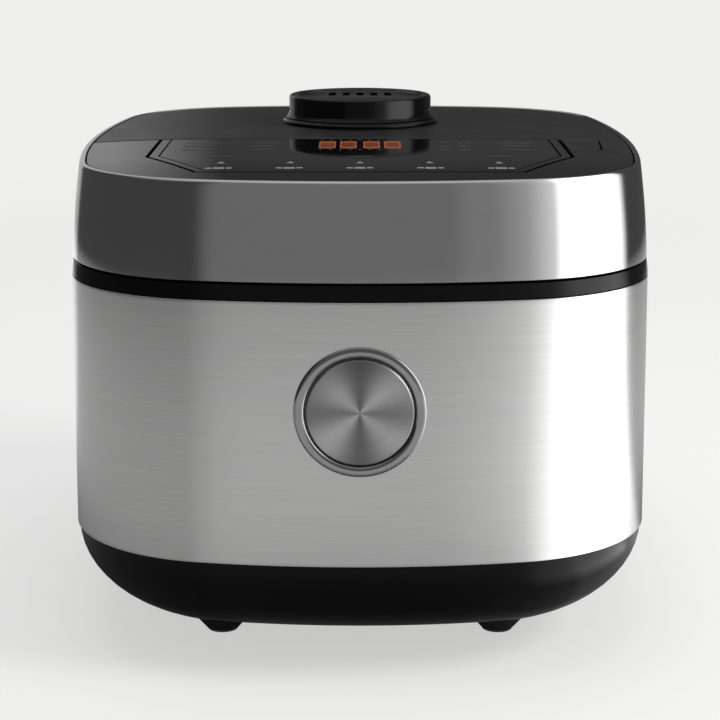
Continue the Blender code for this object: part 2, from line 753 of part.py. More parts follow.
def make_fan():
    """Square frame with a spider and a post, and a rotor that turns on the post."""
    half = FAN_SIZE / 2
    spider_top = FAN_BOTTOM + 0.002
    frame = box("fan_frame", satin_black(), (-half, FAN_Y - half, FAN_BOTTOM),
                (half, FAN_Y + half, FAN_BOTTOM + FAN_HEIGHT))
    bore = turned("fan_bore_cut", satin_black(),
                  disc_profile(FAN_BORE_RADIUS, FAN_BOTTOM - 0.01, FAN_BOTTOM + 0.03), TURN,
                  (0.0, FAN_Y, 0.0))
    combine(frame, bore)
    outline = spoked_outline(0.011, FAN_BORE_RADIUS + 0.0006, 0.004, 0.004, 4, turn=0.3)
    outline = [(x, y + FAN_Y) for x, y in outline]
    spider = prism("fan_spider", satin_black(), outline, FAN_BOTTOM + 0.0004, spider_top)
    combine(frame, spider, "UNION")
    post = turned("fan_post", satin_black(), disc_profile(0.0016, spider_top - 0.001, spider_top + 0.0075),
                  SMALL_TURN, (0.0, FAN_Y, 0.0))
    combine(frame, post, "UNION")

    pivot = make_pivot("fan_axis", (0.0, FAN_Y, spider_top))
    low = spider_top + GAP
    rings = []
    for i in range(3):
        outline = spoked_outline(0.0115, FAN_BORE_RADIUS - 0.0025, 0.006, 0.011, FAN_BLADES,
                                 turn=0.22 * i, arc_steps=1)
        rings.append([(x, y + FAN_Y, low + 0.0046 * i) for x, y in outline])
    rotor = loft("fan_rotor", gloss_black(), rings, pivot)
    bearing = turned("rotor_bore_cut", gloss_black(), disc_profile(0.0019, low - 0.002, spider_top + 0.0079),
                     SMALL_TURN, (0.0, FAN_Y, 0.0))
    combine(rotor, bearing)


def make_electrics():
    """Power board in front of the liner, with its finned heat sink."""
    rear = -(LINER_RADIUS + LINER_WALL) - 0.008
    low = STEEL_BOTTOM + 0.0045
    box("power_board", board_green(), (-BOARD_WIDTH / 2, rear - BOARD_WALL, low),
        (BOARD_WIDTH / 2, rear, low + BOARD_HEIGHT))
    back = rear - BOARD_WALL - GAP
    plate = 0.003
    pitch = SINK_WIDTH / (SINK_FINS - 0.5)
    start = 0.020
    outline = [(start, back), (start + SINK_WIDTH, back)]
    for i in range(SINK_FINS):
        right = start + SINK_WIDTH - i * pitch
        left = right - pitch / 2
        outline += [(right, back - SINK_DEPTH), (left, back - SINK_DEPTH)]
        if i < SINK_FINS - 1:
            outline += [(left, back - plate), (left - pitch / 2, back - plate)]
    prism("heat_sink", aluminium(), outline, low + 0.004, low + 0.048)


def make_power_inlet():
    """Recessed two-pin socket for a detachable lead, low at the rear."""
    z = STEEL_BOTTOM + INLET_RISE
    outside = front_reach(0.0, z) + 0.0006
    half = INLET_WIDTH / 2
    rise = INLET_HEIGHT / 2
    wall = 0.0035
    socket = box("power_inlet", satin_black(), (-half, outside - INLET_DEPTH, z - rise),
                 (half, outside, z + rise))
    recess = box("inlet_recess_cut", satin_black(),
                 (-half + wall, outside - INLET_DEPTH + 0.004, z - rise + wall),
                 (half - wall, outside + 0.01, z + rise - wall))
    combine(socket, recess)
    for i, x in enumerate((-0.005, 0.005)):
        pin = box(f"inlet_pin_{i + 1}", satin_black(), (x - 0.001, outside - INLET_DEPTH + 0.002, z - 0.003),
                  (x + 0.001, outside - 0.007, z + 0.003))
        combine(socket, pin, "UNION")
    return socket


# ---------------------------------------------------------------- button and latch
def button_face():
    """Where the sleeve's front lies at the button's axis."""
    return -front_reach(0.0, BUTTON_Z)


def latch_y():
    """The latch pivot's place: behind the button's stem."""
    return button_face() + BUTTON_DEPTH + 0.0138


def make_button_bezel():
    """Conical ring on the sleeve, its back following the sleeve, with a tube through the hole."""
    face = button_face()
    bezel_back = 0.0006
    rings = []
    for shape in ("edge_back", "edge_front", "crest", "bore_front", "bore_back", "tube_back", "tube_front"):
        ring = []
        for i in range(WIDE_TURN):
            angle = 2 * math.pi * i / WIDE_TURN
            radius = {
                "edge_back": BEZEL_RADIUS, "edge_front": BEZEL_RADIUS, "crest": BEZEL_INNER_RADIUS + 0.0008,
                "bore_front": BEZEL_INNER_RADIUS, "bore_back": BEZEL_INNER_RADIUS,
                "tube_back": BEZEL_TUBE_RADIUS, "tube_front": BEZEL_TUBE_RADIUS,
            }[shape]
            x = radius * math.cos(angle)
            z = BUTTON_Z + radius * math.sin(angle)
            skin = -front_reach(x, z)
            y = {
                "edge_back": skin - bezel_back, "edge_front": skin - bezel_back - 0.0007,
                "crest": face - 0.0019, "bore_front": face - 0.0016, "bore_back": face + BUTTON_DEPTH,
                "tube_back": face + BUTTON_DEPTH, "tube_front": skin - bezel_back,
            }[shape]
            ring.append((x, y, z))
        rings.append(ring)
    return loft("button_bezel", polished_steel(), rings, loop=True)


def make_button_housing():
    """Cup behind the bezel that guides the stem and seats the spring."""
    face = button_face()
    start = face + BUTTON_DEPTH + GAP
    profile = [
        (0.0055, start), (BEZEL_TUBE_RADIUS + 0.0012, start), (BEZEL_TUBE_RADIUS + 0.0012, start + 0.0025),
        (0.0085, start + 0.0025), (0.0085, start + 0.0045), (0.0055, start + 0.0045),
    ]
    return turned("button_housing", inner_grey(), profile, TURN, (0.0, 0.0, BUTTON_Z), axis="Y")


def make_lid_button(pivot):
    """Spun disc with a chamfered edge, and the stem that pushes the latch."""
    face = button_face()
    front = face - BUTTON_PROUD
    stem_end = latch_y() - LATCH_WALL - 0.0005 - GAP
    profile = [
        (0.0, front + 0.0006), (BUTTON_RADIUS - 0.0035, front + 0.0003), (BUTTON_RADIUS - 0.0022, front),
        (BUTTON_RADIUS - 0.0012, front), (BUTTON_RADIUS, front + 0.0012), (BUTTON_RADIUS, front + 0.0035),
        (0.0049, front + 0.0035), (0.0049, stem_end - 0.002), (0.0015, stem_end - 0.0015), (0.0015, stem_end),
        (0.0, stem_end),
    ]
    turned("lid_button", brushed_steel(), profile, WIDE_TURN, (0.0, 0.0, BUTTON_Z), axis="Y", pivot=pivot)
    path = helix((0.0, 0.0, BUTTON_Z), "Y", 0.0085, front + 0.0035 + GAP + WIRE_RADIUS,
                 face + BUTTON_DEPTH - WIRE_RADIUS, 3.5, 10)
    tube_along("button_spring", spring_steel(), path, WIRE_RADIUS, 5)


def make_latch(pivot):
    """Rocker on a pin: its foot meets the button's stem, its hook reaches over the striker."""
    y = latch_y()
    front = y - LATCH_WALL - 0.0005
    foot = BUTTON_Z - 0.004
    hook_top = LID_BOTTOM + 0.0020
    outline = [
        (front, foot), (front + LATCH_WALL, foot), (front + LATCH_WALL, LATCH_Z - 0.0055),
        (y + 0.0035, LATCH_Z - 0.004), (y + 0.0035, LATCH_Z + 0.004), (y + 0.001, LATCH_Z + 0.007),
        (y + 0.001, hook_top - 0.0027), (y + 0.0062, hook_top - 0.0027), (y + 0.0062, hook_top - 0.0012),
        (y + 0.0030, hook_top), (y - 0.0035, hook_top), (y - 0.0035, LATCH_Z + 0.006), (front, LATCH_Z),
    ]
    half = LATCH_WIDTH / 2
    lever = prism("latch_lever", inner_grey(), outline, -half, half, axis="X", pivot=pivot)
    place = (0.0, y, LATCH_Z)
    bore_radius = LATCH_PIN_RADIUS + GAP
    bore = turned("lever_bore_cut", inner_grey(), disc_profile(bore_radius, -half - 0.01, half + 0.01),
                  SMALL_TURN, place, axis="X")
    combine(lever, bore)
    turned("latch_pin", spring_steel(), disc_profile(LATCH_PIN_RADIUS, -half - 0.0042, half + 0.0042),
           SMALL_TURN, place, axis="X")
    inside = half + 0.0008
    outside = inside + 0.002
    front_edge = y - 0.0075
    web = y + 0.0085
    outline = [
        (-outside, front_edge), (-inside, front_edge), (-inside, web), (inside, web), (inside, front_edge),
        (outside, front_edge), (outside, web + 0.002), (-outside, web + 0.002),
    ]
    bracket = prism("latch_bracket", spring_steel(), outline, LATCH_Z - 0.009, DECK_TOP - DECK_WALL - GAP)
    bore = turned("bracket_bore_cut", spring_steel(),
                  disc_profile(bore_radius, -outside - 0.01, outside + 0.01), SMALL_TURN, place, axis="X")
    combine(bracket, bore)


def make_lid_striker(pivot):
    """Steel loop under the lid's front that the hook holds down."""
    rear_of_hook = latch_y() + 0.0062 + 0.0005
    bar_low = LID_BOTTOM - 0.0032
    bar_high = bar_low + 0.0024
    plate_high = FRAME_BOTTOM - GAP
    outer = 0.0135
    inner = 0.0110
    outline = [
        (-outer, plate_high), (-outer, bar_low), (outer, bar_low), (outer, plate_high),
        (inner, plate_high), (inner, bar_high), (-inner, bar_high), (-inner, plate_high),
    ]
    rings = [[(x, y, z) for x, z in outline] for y in (rear_of_hook, rear_of_hook + 0.0025)]
    return loft("lid_striker", spring_steel(), rings, pivot)


# ---------------------------------------------------------------- hinge
def make_hinge_housing():
    """Round-topped block on the deck, slotted for the lid's arms, with a pocket for the spring."""
    low = DECK_TOP + GAP
    front = HINGE_Y - HUMP_RADIUS
    rear = HINGE_Y + HUMP_RADIUS
    outline = [(front, low), (rear, low)]
    outline += arc((HINGE_Y, HINGE_Z), HUMP_RADIUS, 0.0, math.pi, 12, last=True)
    housing = prism("hinge_housing", satin_black(), outline, -HUMP_HALF_WIDTH, HUMP_HALF_WIDTH, axis="X")
    slot_half = ARM_WIDTH / 2 + 0.0006
    for side, sign in (("left", -1), ("right", 1)):
        slot = box(f"arm_slot_cut_{side}", satin_black(),
                   (sign * ARM_X - slot_half, front - 0.01, HINGE_Z - 0.0085),
                   (sign * ARM_X + slot_half, rear + 0.01, HINGE_Z + 0.02))
        combine(housing, slot)
    pocket = box("spring_pocket_cut", satin_black(), (-0.009, front - 0.01, HINGE_Z - 0.0075),
                 (0.009, HINGE_Y + 0.0065, HINGE_Z + 0.0075))
    combine(housing, pocket)
    bore = turned("hinge_bore_cut", satin_black(), disc_profile(HINGE_PIN_RADIUS + GAP, -0.06, 0.06),
                  SMALL_TURN, (0.0, HINGE_Y, HINGE_Z), axis="X")
    combine(housing, bore)
    return housing


def make_hinge_pin_and_spring():
    turned("hinge_pin", polished_steel(),
           disc_profile(HINGE_PIN_RADIUS, -HUMP_HALF_WIDTH + 0.0005, HUMP_HALF_WIDTH - 0.0005), SMALL_TURN,
           (0.0, HINGE_Y, HINGE_Z), axis="X")
    path = helix((0.0, HINGE_Y, HINGE_Z), "X", 0.0048, -0.0065, 0.0065, 5, 10)
    path.append(tuple(Vector(path[-1]) + Vector((0.0008, 0.0004, 0.0024))))
    path.insert(0, tuple(Vector(path[0]) + Vector((0.0, -0.0007, -0.0030))))
    tube_along("hinge_spring", spring_steel(), path, WIRE_RADIUS, 5)


def make_hinge_arms(pivot):
    """Two arms fixed to the lid's frame, turning on the pin."""
    end = 0.007
    wall = NOTCH_FRONT + GAP
    outline = [(wall, HINGE_Z - 0.0085)]
    outline += arc((HINGE_Y, HINGE_Z), end, -math.pi / 2, math.pi / 2, 8, last=True)
    outline.append((wall, HINGE_Z + 0.0085))
    for side, sign in (("left", -1), ("right", 1)):
        low = sign * ARM_X - ARM_WIDTH / 2
        arm = prism(f"hinge_arm_{side}", aluminium(), outline, low, low + ARM_WIDTH, axis="X", pivot=pivot)
        bore = turned(f"arm_bore_cut_{side}", aluminium(),
                      disc_profile(HINGE_PIN_RADIUS + GAP, low - 0.01, low + ARM_WIDTH + 0.01), SMALL_TURN,
                      (0.0, HINGE_Y, HINGE_Z), axis="X")
        combine(arm, bore)


# ---------------------------------------------------------------- condensate tray
def rear_curve(half_width, reach, steps=6):
    """Points across the rear, from +X to -X, bowed like the sleeve, reaching out at the middle."""
    points = []
    for i in range(steps + 1):
        x = half_width * (1 - 2 * i / steps)
        points.append((x, reach - FRONT_RADIUS + math.sqrt(FRONT_RADIUS ** 2 - x ** 2)))
    return points


def make_condensate_tray(pivot):
    """Open-topped drawer for the water from the lid; its bowed face stands as proud as the button."""
    reach = -button_face() + BUTTON_PROUD
    front = reach - TRAY_DEPTH
    half = TRAY_HALF_WIDTH
    outline = [(-half, front), (half, front)] + rear_curve(half, reach)
    tray = prism("condensate_tray", inner_grey(), outline, TRAY_BOTTOM, TRAY_TOP, pivot=pivot)
    wall = 0.002
    face_wall = 0.0075
    hollow = box("tray_hollow_cut", inner_grey(), (-half + wall, front + wall, TRAY_BOTTOM + wall),
                 (half - wall, reach - face_wall - 0.0028, TRAY_TOP + 0.01))
    combine(tray, hollow)
    middle = (TRAY_BOTTOM + TRAY_TOP) / 2
    grip = box("tray_grip_cut", inner_grey(), (-0.020, reach - 0.0036, middle - 0.007),
               (0.020, reach + 0.01, middle + 0.007))
    combine(tray, grip)
    return tray


def make_condensate_bay():
    """Pocket in the body that the tray slides into, open at the rear."""
    wall = 0.002
    half = TRAY_HALF_WIDTH + TRAY_GAP + wall
    front = -button_face() + BUTTON_PROUD - TRAY_DEPTH - GAP - wall
    rear = front_reach(half, TRAY_BOTTOM) - STEEL_WALL - 3 * GAP
    low = TRAY_BOTTOM - TRAY_GAP - wall
    high = TRAY_TOP + TRAY_GAP + wall
    bay = box("condensate_bay", satin_black(), (-half, front, low), (half, rear, high))
    hollow = box("bay_hollow_cut", satin_black(), (-half + wall, front + wall, low + wall),
                 (half - wall, rear + 0.01, high - wall))
    combine(bay, hollow)
    return bay


# ---------------------------------------------------------------- lid
def make_lid_ring(pivot):
    """Polished outer wall of the lid with a narrow lip, notched at the rear for the hinge."""
    levels = [LID_BOTTOM + LID_HEIGHT * share for share in (0.0, 0.33, 0.66, 0.975)]
    lip_inset = COVER_INSET - GROOVE
    lip_low = RIM_TOP - 0.0016
    rings = [plan_ring(lid_inset(z), z) for z in levels]
    rings.append(plan_ring(lid_inset(RIM_TOP) + 0.0006, RIM_TOP))
    rings.append(plan_ring(lip_inset, RIM_TOP))
    rings.append(plan_ring(lip_inset, lip_low))
    rings.append(plan_ring(lid_inset(lip_low) + RING_WALL, lip_low))
    rings += [plan_ring(lid_inset(z) + RING_WALL, z) for z in reversed(levels[:3])]
    ring = loft("lid_ring", polished_steel(), rings, pivot, loop=True)
    notch = box("ring_notch_cut", polished_steel(), (-NOTCH_HALF_WIDTH, NOTCH_FRONT, LID_BOTTOM - 0.005),
                (NOTCH_HALF_WIDTH, HALF_DEPTH + 0.02, NOTCH_TOP + GAP))
    combine(ring, notch)
    return ring


def key_boss_place():
    return (HALF_WIDTH - KEY_BOSS_INSET, SEAM_Y - 0.0230)


def post_places():
    """Where the frame's posts stand: four under the control board and one under the key."""
    inner_x = PANEL_HALF_WIDTH - 0.018
    posts = [(sign * inner_x, SEAM_Y - 0.016) for sign in (-1, 1)]
    posts += [(sign * (PANEL_FRONT_HALF_WIDTH - 0.010), PANEL_FRONT_Y + 0.014) for sign in (-1, 1)]
    return posts


def make_lid_frame(pivot):
    """Moulded tray inside the lid: floor, wall, posts, steam passage and a bay for the hinge."""
    wall = 0.0026
    low_inset = lid_inset(FRAME_BOTTOM) + RING_WALL + 0.0004
    high_inset = lid_inset(FRAME_TOP) + RING_WALL + 0.0006
    frame = loft("lid_frame", satin_black(),
                 [plan_ring(low_inset, FRAME_BOTTOM), plan_ring(high_inset, FRAME_TOP)], pivot)
    above = FRAME_TOP + 0.006
    hollow = loft("frame_hollow_cut", satin_black(),
                  [plan_ring(low_inset + wall, FRAME_FLOOR), plan_ring(high_inset + wall + 0.0006, above)])
    bay_half = NOTCH_HALF_WIDTH + wall
    bay = box("frame_bay_keep", satin_black(), (-bay_half, NOTCH_FRONT - wall, FRAME_FLOOR - 0.01),
              (bay_half, HALF_DEPTH + 0.02, above + 0.01))
    combine(hollow, bay)
    board_seat = CONTROL_BOARD_Z - GAP
    for i, (x, y) in enumerate(post_places()):
        post = turned(f"frame_post_keep_{i + 1}", satin_black(),
                      disc_profile(0.004, FRAME_FLOOR - 0.01, board_seat), 10, (x, y, 0.0))
        combine(hollow, post)
    x, y = key_boss_place()
    boss = turned("frame_boss_keep", satin_black(), disc_profile(0.006, FRAME_FLOOR - 0.01, key_boss_top()),
                  SMALL_TURN, (x, y, 0.0))
    combine(hollow, boss)
    combine(frame, hollow)
    relief = prism("key_relief_cut", satin_black(), key_outline(-GAP), FRAME_TOP - KEY_TRAVEL - GAP, above)
    combine(frame, relief)
    notch = box("frame_notch_cut", satin_black(), (-NOTCH_HALF_WIDTH, NOTCH_FRONT, FRAME_BOTTOM - 0.005),
                (NOTCH_HALF_WIDTH, HALF_DEPTH + 0.02, NOTCH_TOP))
    combine(frame, notch)
    passage = turned("steam_passage_cut", satin_black(),
                     disc_profile(0.011, FRAME_BOTTOM - 0.01, FRAME_FLOOR + 0.01), SMALL_TURN,
                     (0.0, STEAM_Y, 0.0))
    combine(frame, passage)
    return frame


def cover_blank(name, mat, pivot):
    """The whole crowned top of the lid, from which each cover piece is cut."""
    reach = CROWN_REACH - COVER_INSET
    rings = [plan_ring(COVER_INSET, COVER_BOTTOM)]
    for share in (0.0, 0.22, 0.52, 1.0):
        height = RIM_TOP - GAP + CROWN * (1 - (1 - share) ** 2)
        rings.append(plan_ring(COVER_INSET + reach * share, height))
    return loft(name, mat, rings, pivot)


def panel_outline(inset, rear_y):
    """The control panel's outline, its front bowed, moved in by an inset."""
    slope = math.hypot(PANEL_HALF_WIDTH - PANEL_FRONT_HALF_WIDTH, PANEL_SHOULDER_Y - PANEL_FRONT_Y)
    lean = (PANEL_HALF_WIDTH - PANEL_FRONT_HALF_WIDTH) / slope
    shoulder = (PANEL_HALF_WIDTH - inset, PANEL_SHOULDER_Y + inset * lean / (1 + math.sqrt(1 - lean ** 2)))
    front_half = PANEL_FRONT_HALF_WIDTH - inset * 0.55
    front = []
    steps = 6
    for i in range(steps + 1):
        share = 1 - 2 * i / steps
        front.append((front_half * share, PANEL_FRONT_Y + inset - PANEL_BOW * (1 - share ** 2)))
    return [(-shoulder[0], rear_y), (-shoulder[0], shoulder[1])] + list(reversed(front)) + [
        shoulder, (shoulder[0], rear_y)]


def key_front():
    """Where the key's arched front rises highest, and where the key's divider stands."""
    return HALF_WIDTH - KEY_DIVIDER, SEAM_Y - KEY_ARCH


def key_outline(offset):
    """The steam release key at the lid's right: seam, divider, arched front and the lid's edge."""
    seam = SEAM_Y - SEAM_WIDTH / 2 - offset
    divider, arch_top = key_front()
    divider += offset
    arch_top += offset
    arch_end = arch_top - 0.0200
    outside = HALF_WIDTH + 0.01
    return [(divider + 0.6 * KEY_LEAN, seam), (divider - 0.4 * KEY_LEAN, arch_top),
            (HALF_WIDTH - 0.0205, arch_top - 0.0060), (HALF_WIDTH - 0.0150, arch_end),
            (outside, arch_end - 0.012), (outside, seam)]


def trim_outline(offset):
    """The fixed filler between the panel and the key."""
    seam = SEAM_Y - SEAM_WIDTH / 2 - offset
    left = PANEL_HALF_WIDTH + GAP + offset
    divider, arch_top = key_front()
    divider -= GAP + offset
    arch_top += offset
    return [(left, seam), (left, arch_top - 0.0145), (HALF_WIDTH - 0.0335, arch_top - 0.0060),
            (divider - 0.4 * KEY_LEAN - 0.0002, arch_top), (divider + 0.6 * KEY_LEAN - 0.0002, seam)]


def release_opening():
    """Opening in the front cover for the key and the filler, wider along the arch for a finger."""
    seam = SEAM_Y - SEAM_WIDTH / 2 + 0.005
    divider, arch_top = key_front()
    outside = HALF_WIDTH + 0.01
    finger = 0.0088             # how far the opening reaches forward of the arch's shoulders
    return [(PANEL_HALF_WIDTH, seam), (PANEL_HALF_WIDTH, arch_top - 0.0160),
            (HALF_WIDTH - 0.0335, arch_top - finger), (divider - 0.0010, arch_top - 0.0030),
            (HALF_WIDTH - 0.0200, arch_top - finger), (HALF_WIDTH - 0.0150, arch_top - 0.0206),
            (outside, arch_top - 0.0330), (outside, seam)]


def cutting_prism(name, outline):
    return prism(name, satin_black(), outline, COVER_BOTTOM - 0.003, COVER_CREST + 0.003)


def make_covers(pivot):
    """Rear cover and front cover, parted by the straight seam."""
    wide = HALF_WIDTH + 0.02
    deep = HALF_DEPTH + 0.02
    rear = cover_blank("rear_cover", satin_black(), pivot)
    front_edge = SEAM_Y + SEAM_WIDTH / 2
    combine(rear, cutting_prism("rear_cover_cut", [(-wide, -deep), (wide, -deep), (wide, front_edge),
                                                   (-wide, front_edge)]))
    steam_hole = turned("steam_hole_cut", satin_black(),
                        disc_profile(SPIGOT_RADIUS + 0.0004, COVER_BOTTOM - 0.01, COVER_CREST + 0.01),
                        WIDE_TURN, (0.0, STEAM_Y, 0.0))
    combine(rear, steam_hole)
    front = cover_blank("front_cover", gloss_black(), pivot)
    rear_edge = SEAM_Y - SEAM_WIDTH / 2
    combine(front, cutting_prism("front_cover_cut", [(-wide, rear_edge), (wide, rear_edge), (wide, deep),
                                                     (-wide, deep)]))
    combine(front, cutting_prism("panel_opening_cut", panel_outline(-GAP, SEAM_Y + 0.01)))
    combine(front, cutting_prism("release_opening_cut", release_opening()))


def make_panel(pivot):
    """U-shaped bezel, dark window, display and touch board of the control panel."""
    rear_edge = SEAM_Y - SEAM_WIDTH / 2
    bezel = cover_blank("panel_bezel", gloss_black(), pivot)
    combine(bezel, cutting_prism("panel_bezel_keep", panel_outline(GAP, rear_edge)), "INTERSECT")
    combine(bezel, cutting_prism("panel_window_cut", panel_outline(BEZEL_BAR, rear_edge + 0.01)))
    window = cover_blank("panel_window", window_black(), pivot)
    keep = cutting_prism("panel_window_keep", panel_outline(BEZEL_BAR + GAP, rear_edge))
    combine(window, keep, "INTERSECT")
    board_top = CONTROL_BOARD_Z + BOARD_WALL
    front_half = PANEL_FRONT_HALF_WIDTH - 0.004
    side = PANEL_HALF_WIDTH - 0.012
    outline = [(-side, SEAM_Y - 0.008), (-side, PANEL_SHOULDER_Y), (-front_half, PANEL_FRONT_Y + 0.007),
               (front_half, PANEL_FRONT_Y + 0.007), (side, PANEL_SHOULDER_Y), (side, SEAM_Y - 0.008)]
    prism("control_board", board_green(), outline, CONTROL_BOARD_Z, board_top, pivot=pivot)
    box("display_module", satin_black(), (-0.043, SEAM_Y - 0.045, board_top + GAP),
        (0.043, SEAM_Y - 0.013, COVER_BOTTOM - GAP), pivot)


def key_boss_top():
    return COVER_BOTTOM - KEY_BOSS_RISE


def make_release_key(pivot, key_pivot):
    """Steam release key with its stem and spring, and the filler beside it."""
    key = cover_blank("exhaust_key", satin_black(), key_pivot)
    combine(key, cutting_prism("exhaust_key_keep", key_outline(GAP)), "INTERSECT")
    x, y = key_boss_place()
    stem = turned("key_stem", satin_black(),
                  disc_profile(0.0022, key_boss_top() + KEY_TRAVEL + GAP, COVER_BOTTOM + 0.001), 10,
                  (x, y, 0.0))
    combine(key, stem, "UNION")
    trim = cover_blank("key_trim", satin_black(), pivot)
    combine(trim, cutting_prism("key_trim_keep", trim_outline(GAP)), "INTERSECT")
    clear = GAP + KEY_WIRE_RADIUS
    path = helix((x, y, 0.0), "Z", 0.0040, key_boss_top() + clear, COVER_BOTTOM - clear, 4, 9)
    tube_along("exhaust_spring", spring_steel(), path, KEY_WIRE_RADIUS, 5, pivot)


def make_steam_vent(pivot, cap_pivot):
    """Collar in the rear cover, and the lift-out cap with its cup and seal."""
    collar_top = COLLAR_BOTTOM + COLLAR_HEIGHT
    spigot = SPIGOT_RADIUS
    profile = [
        (spigot - 0.0020, COVER_BOTTOM - 0.002), (spigot, COVER_BOTTOM - 0.002), (spigot, COLLAR_BOTTOM),
        (COLLAR_RADIUS, COLLAR_BOTTOM), (COLLAR_RADIUS, COLLAR_BOTTOM + 0.0013),
        (COLLAR_RADIUS - 0.0012, collar_top), (spigot - 0.0020, collar_top),
    ]
    turned("steam_collar", gloss_black(), profile, WIDE_TURN, (0.0, STEAM_Y, 0.0), pivot=pivot)

    wall = CAP_WALL
    dish = CAP_DISH
    profile = [
        (0.0, CAP_TOP - dish - wall), (CAP_RADIUS - wall, CAP_TOP - dish - wall),
        (CAP_RADIUS - wall, CAP_BOTTOM + 0.004), (CAP_RADIUS + CAP_FLARE - wall - 0.0015, CAP_BOTTOM),
        (CAP_RADIUS + CAP_FLARE, CAP_BOTTOM),
        (CAP_RADIUS + 0.35 * CAP_FLARE, CAP_BOTTOM + 0.0016), (CAP_RADIUS, CAP_BOTTOM + 0.0042),
        (CAP_RADIUS, CAP_TOP - 0.0012), (CAP_RADIUS - 0.0012, CAP_TOP), (CAP_RADIUS - 0.0040, CAP_TOP),
        (CAP_RADIUS - 0.0060, CAP_TOP - dish), (0.0, CAP_TOP - dish),
    ]
    cap = turned("steam_cap", gloss_black(), profile, WIDE_TURN, (0.0, STEAM_Y, 0.0), pivot=cap_pivot)
    for i in range(VENT_SLOTS):
        x = VENT_PITCH * (i - (VENT_SLOTS - 1) / 2)
        front = STEAM_Y + VENT_PITCH
        slot = box(f"vent_slot_cut_{i + 1}", gloss_black(), (x - VENT_HALF_WIDTH, front, CAP_TOP - 0.02),
                   (x + VENT_HALF_WIDTH, front + VENT_LENGTH, CAP_TOP + 0.01))
        combine(cap, slot)

    floor = FRAME_FLOOR + 0.0035
    cup_top = CAP_TOP - dish - wall - GAP
    profile = [
        (0.005, floor), (CUP_RADIUS, floor), (CUP_RADIUS, cup_top), (CUP_RADIUS - CUP_WALL, cup_top),
        (CUP_RADIUS - CUP_WALL, floor + CUP_WALL), (0.005, floor + CUP_WALL),
    ]
    cup = turned("steam_cup", inner_grey(), profile, TURN, (0.0, STEAM_Y, 0.0), pivot=cap_pivot)
    side_hole = box("cup_window_cut", inner_grey(), (-0.006, STEAM_Y, cup_top - 0.010),
                    (0.006, STEAM_Y + CUP_RADIUS + 0.01, cup_top - 0.002))
    combine(cup, side_hole)
    low = FRAME_FLOOR + GAP
    high = floor - GAP
    profile = [(0.012, low), (CUP_RADIUS - 0.001, low), (CUP_RADIUS - 0.001, high), (0.012, high)]
    turned("steam_seal", silicone(), profile, TURN, (0.0, STEAM_Y, 0.0), pivot=cap_pivot)


def make_inner_lid(pivot):
    """Pressed plate over the pot, with its gasket and steam holes."""
    rim = POT_RADIUS - 0.0055
    high = FRAME_BOTTOM - 0.0018
    low = high - 0.0015
    profile = [(0.0, low), (rim - 0.012, low), (rim - 0.010, low + 0.0008), (rim, low + 0.0008),
               (rim, high + 0.0008), (rim - 0.0105, high + 0.0008), (rim - 0.0125, high), (0.0, high)]
    plate = turned("inner_lid", aluminium(), profile, WIDE_TURN, pivot=pivot)
    for i, x in enumerate((-0.014, 0.0, 0.014)):
        hole = turned(f"steam_hole_cut_{i + 1}", aluminium(),
                      disc_profile(0.004, low - 0.005, high + 0.005), 12, (x, STEAM_Y, 0.0))
        combine(plate, hole, solver="MANIFOLD")
    flange_top = POT_RIM + POT_WALL
    seal_low = flange_top + GAP
    seal_high = FRAME_BOTTOM - GAP
    inner = rim + GAP
    profile = [(inner, seal_low + 0.0022), (inner + 0.0040, seal_low), (inner + 0.0075, seal_low),
               (inner + 0.0090, seal_low + 0.0015), (inner + 0.0090, seal_high), (inner, seal_high)]
    turned("lid_gasket", silicone(), profile, WIDE_TURN, pivot=pivot)


# ---------------------------------------------------------------- the whole cooker
def main():
    clear_scene()
    make_base_shell()
    make_feet()
    make_screws()
    make_body_wrap()
    make_top_collar()

    make_inner_pot()
    make_chamber_liner()
    make_induction_coil()
    make_coil_holder()
    make_ferrite_bars()
    make_pot_sensor(make_pivot("sensor_axis", (0.0, 0.0, POT_BOTTOM - GAP)))

    make_fan()
    make_electrics()
    make_power_inlet()

    make_button_bezel()
    make_button_housing()
    make_lid_button(make_pivot("button_axis", (0.0, button_face(), BUTTON_Z)))
    make_latch(make_pivot("latch_axis", (0.0, latch_y(), LATCH_Z)))

    make_hinge_housing()
    make_hinge_pin_and_spring()
    make_condensate_tray(make_pivot("tray_axis", (0.0, HALF_DEPTH, TRAY_BOTTOM)))
    make_condensate_bay()

    lid = make_pivot("lid_axis", (0.0, HINGE_Y, HINGE_Z))
    make_lid_ring(lid)
    make_lid_frame(lid)
    make_hinge_arms(lid)
    make_covers(lid)
    make_panel(lid)
    make_inner_lid(lid)
    make_lid_striker(lid)
    make_release_key(lid, make_pivot("key_axis", (*key_boss_place(), COVER_BOTTOM), lid))
    make_steam_vent(lid, make_pivot("steam_axis", (0.0, STEAM_Y, CAP_BOTTOM), lid))
    bpy.context.view_layer.update()


main()
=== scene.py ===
"""Looks of the rice cooker: its outer shells, its finishes, the studio and the camera.

Metres, +Z up, +Y to the rear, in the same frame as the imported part.
"""
import math

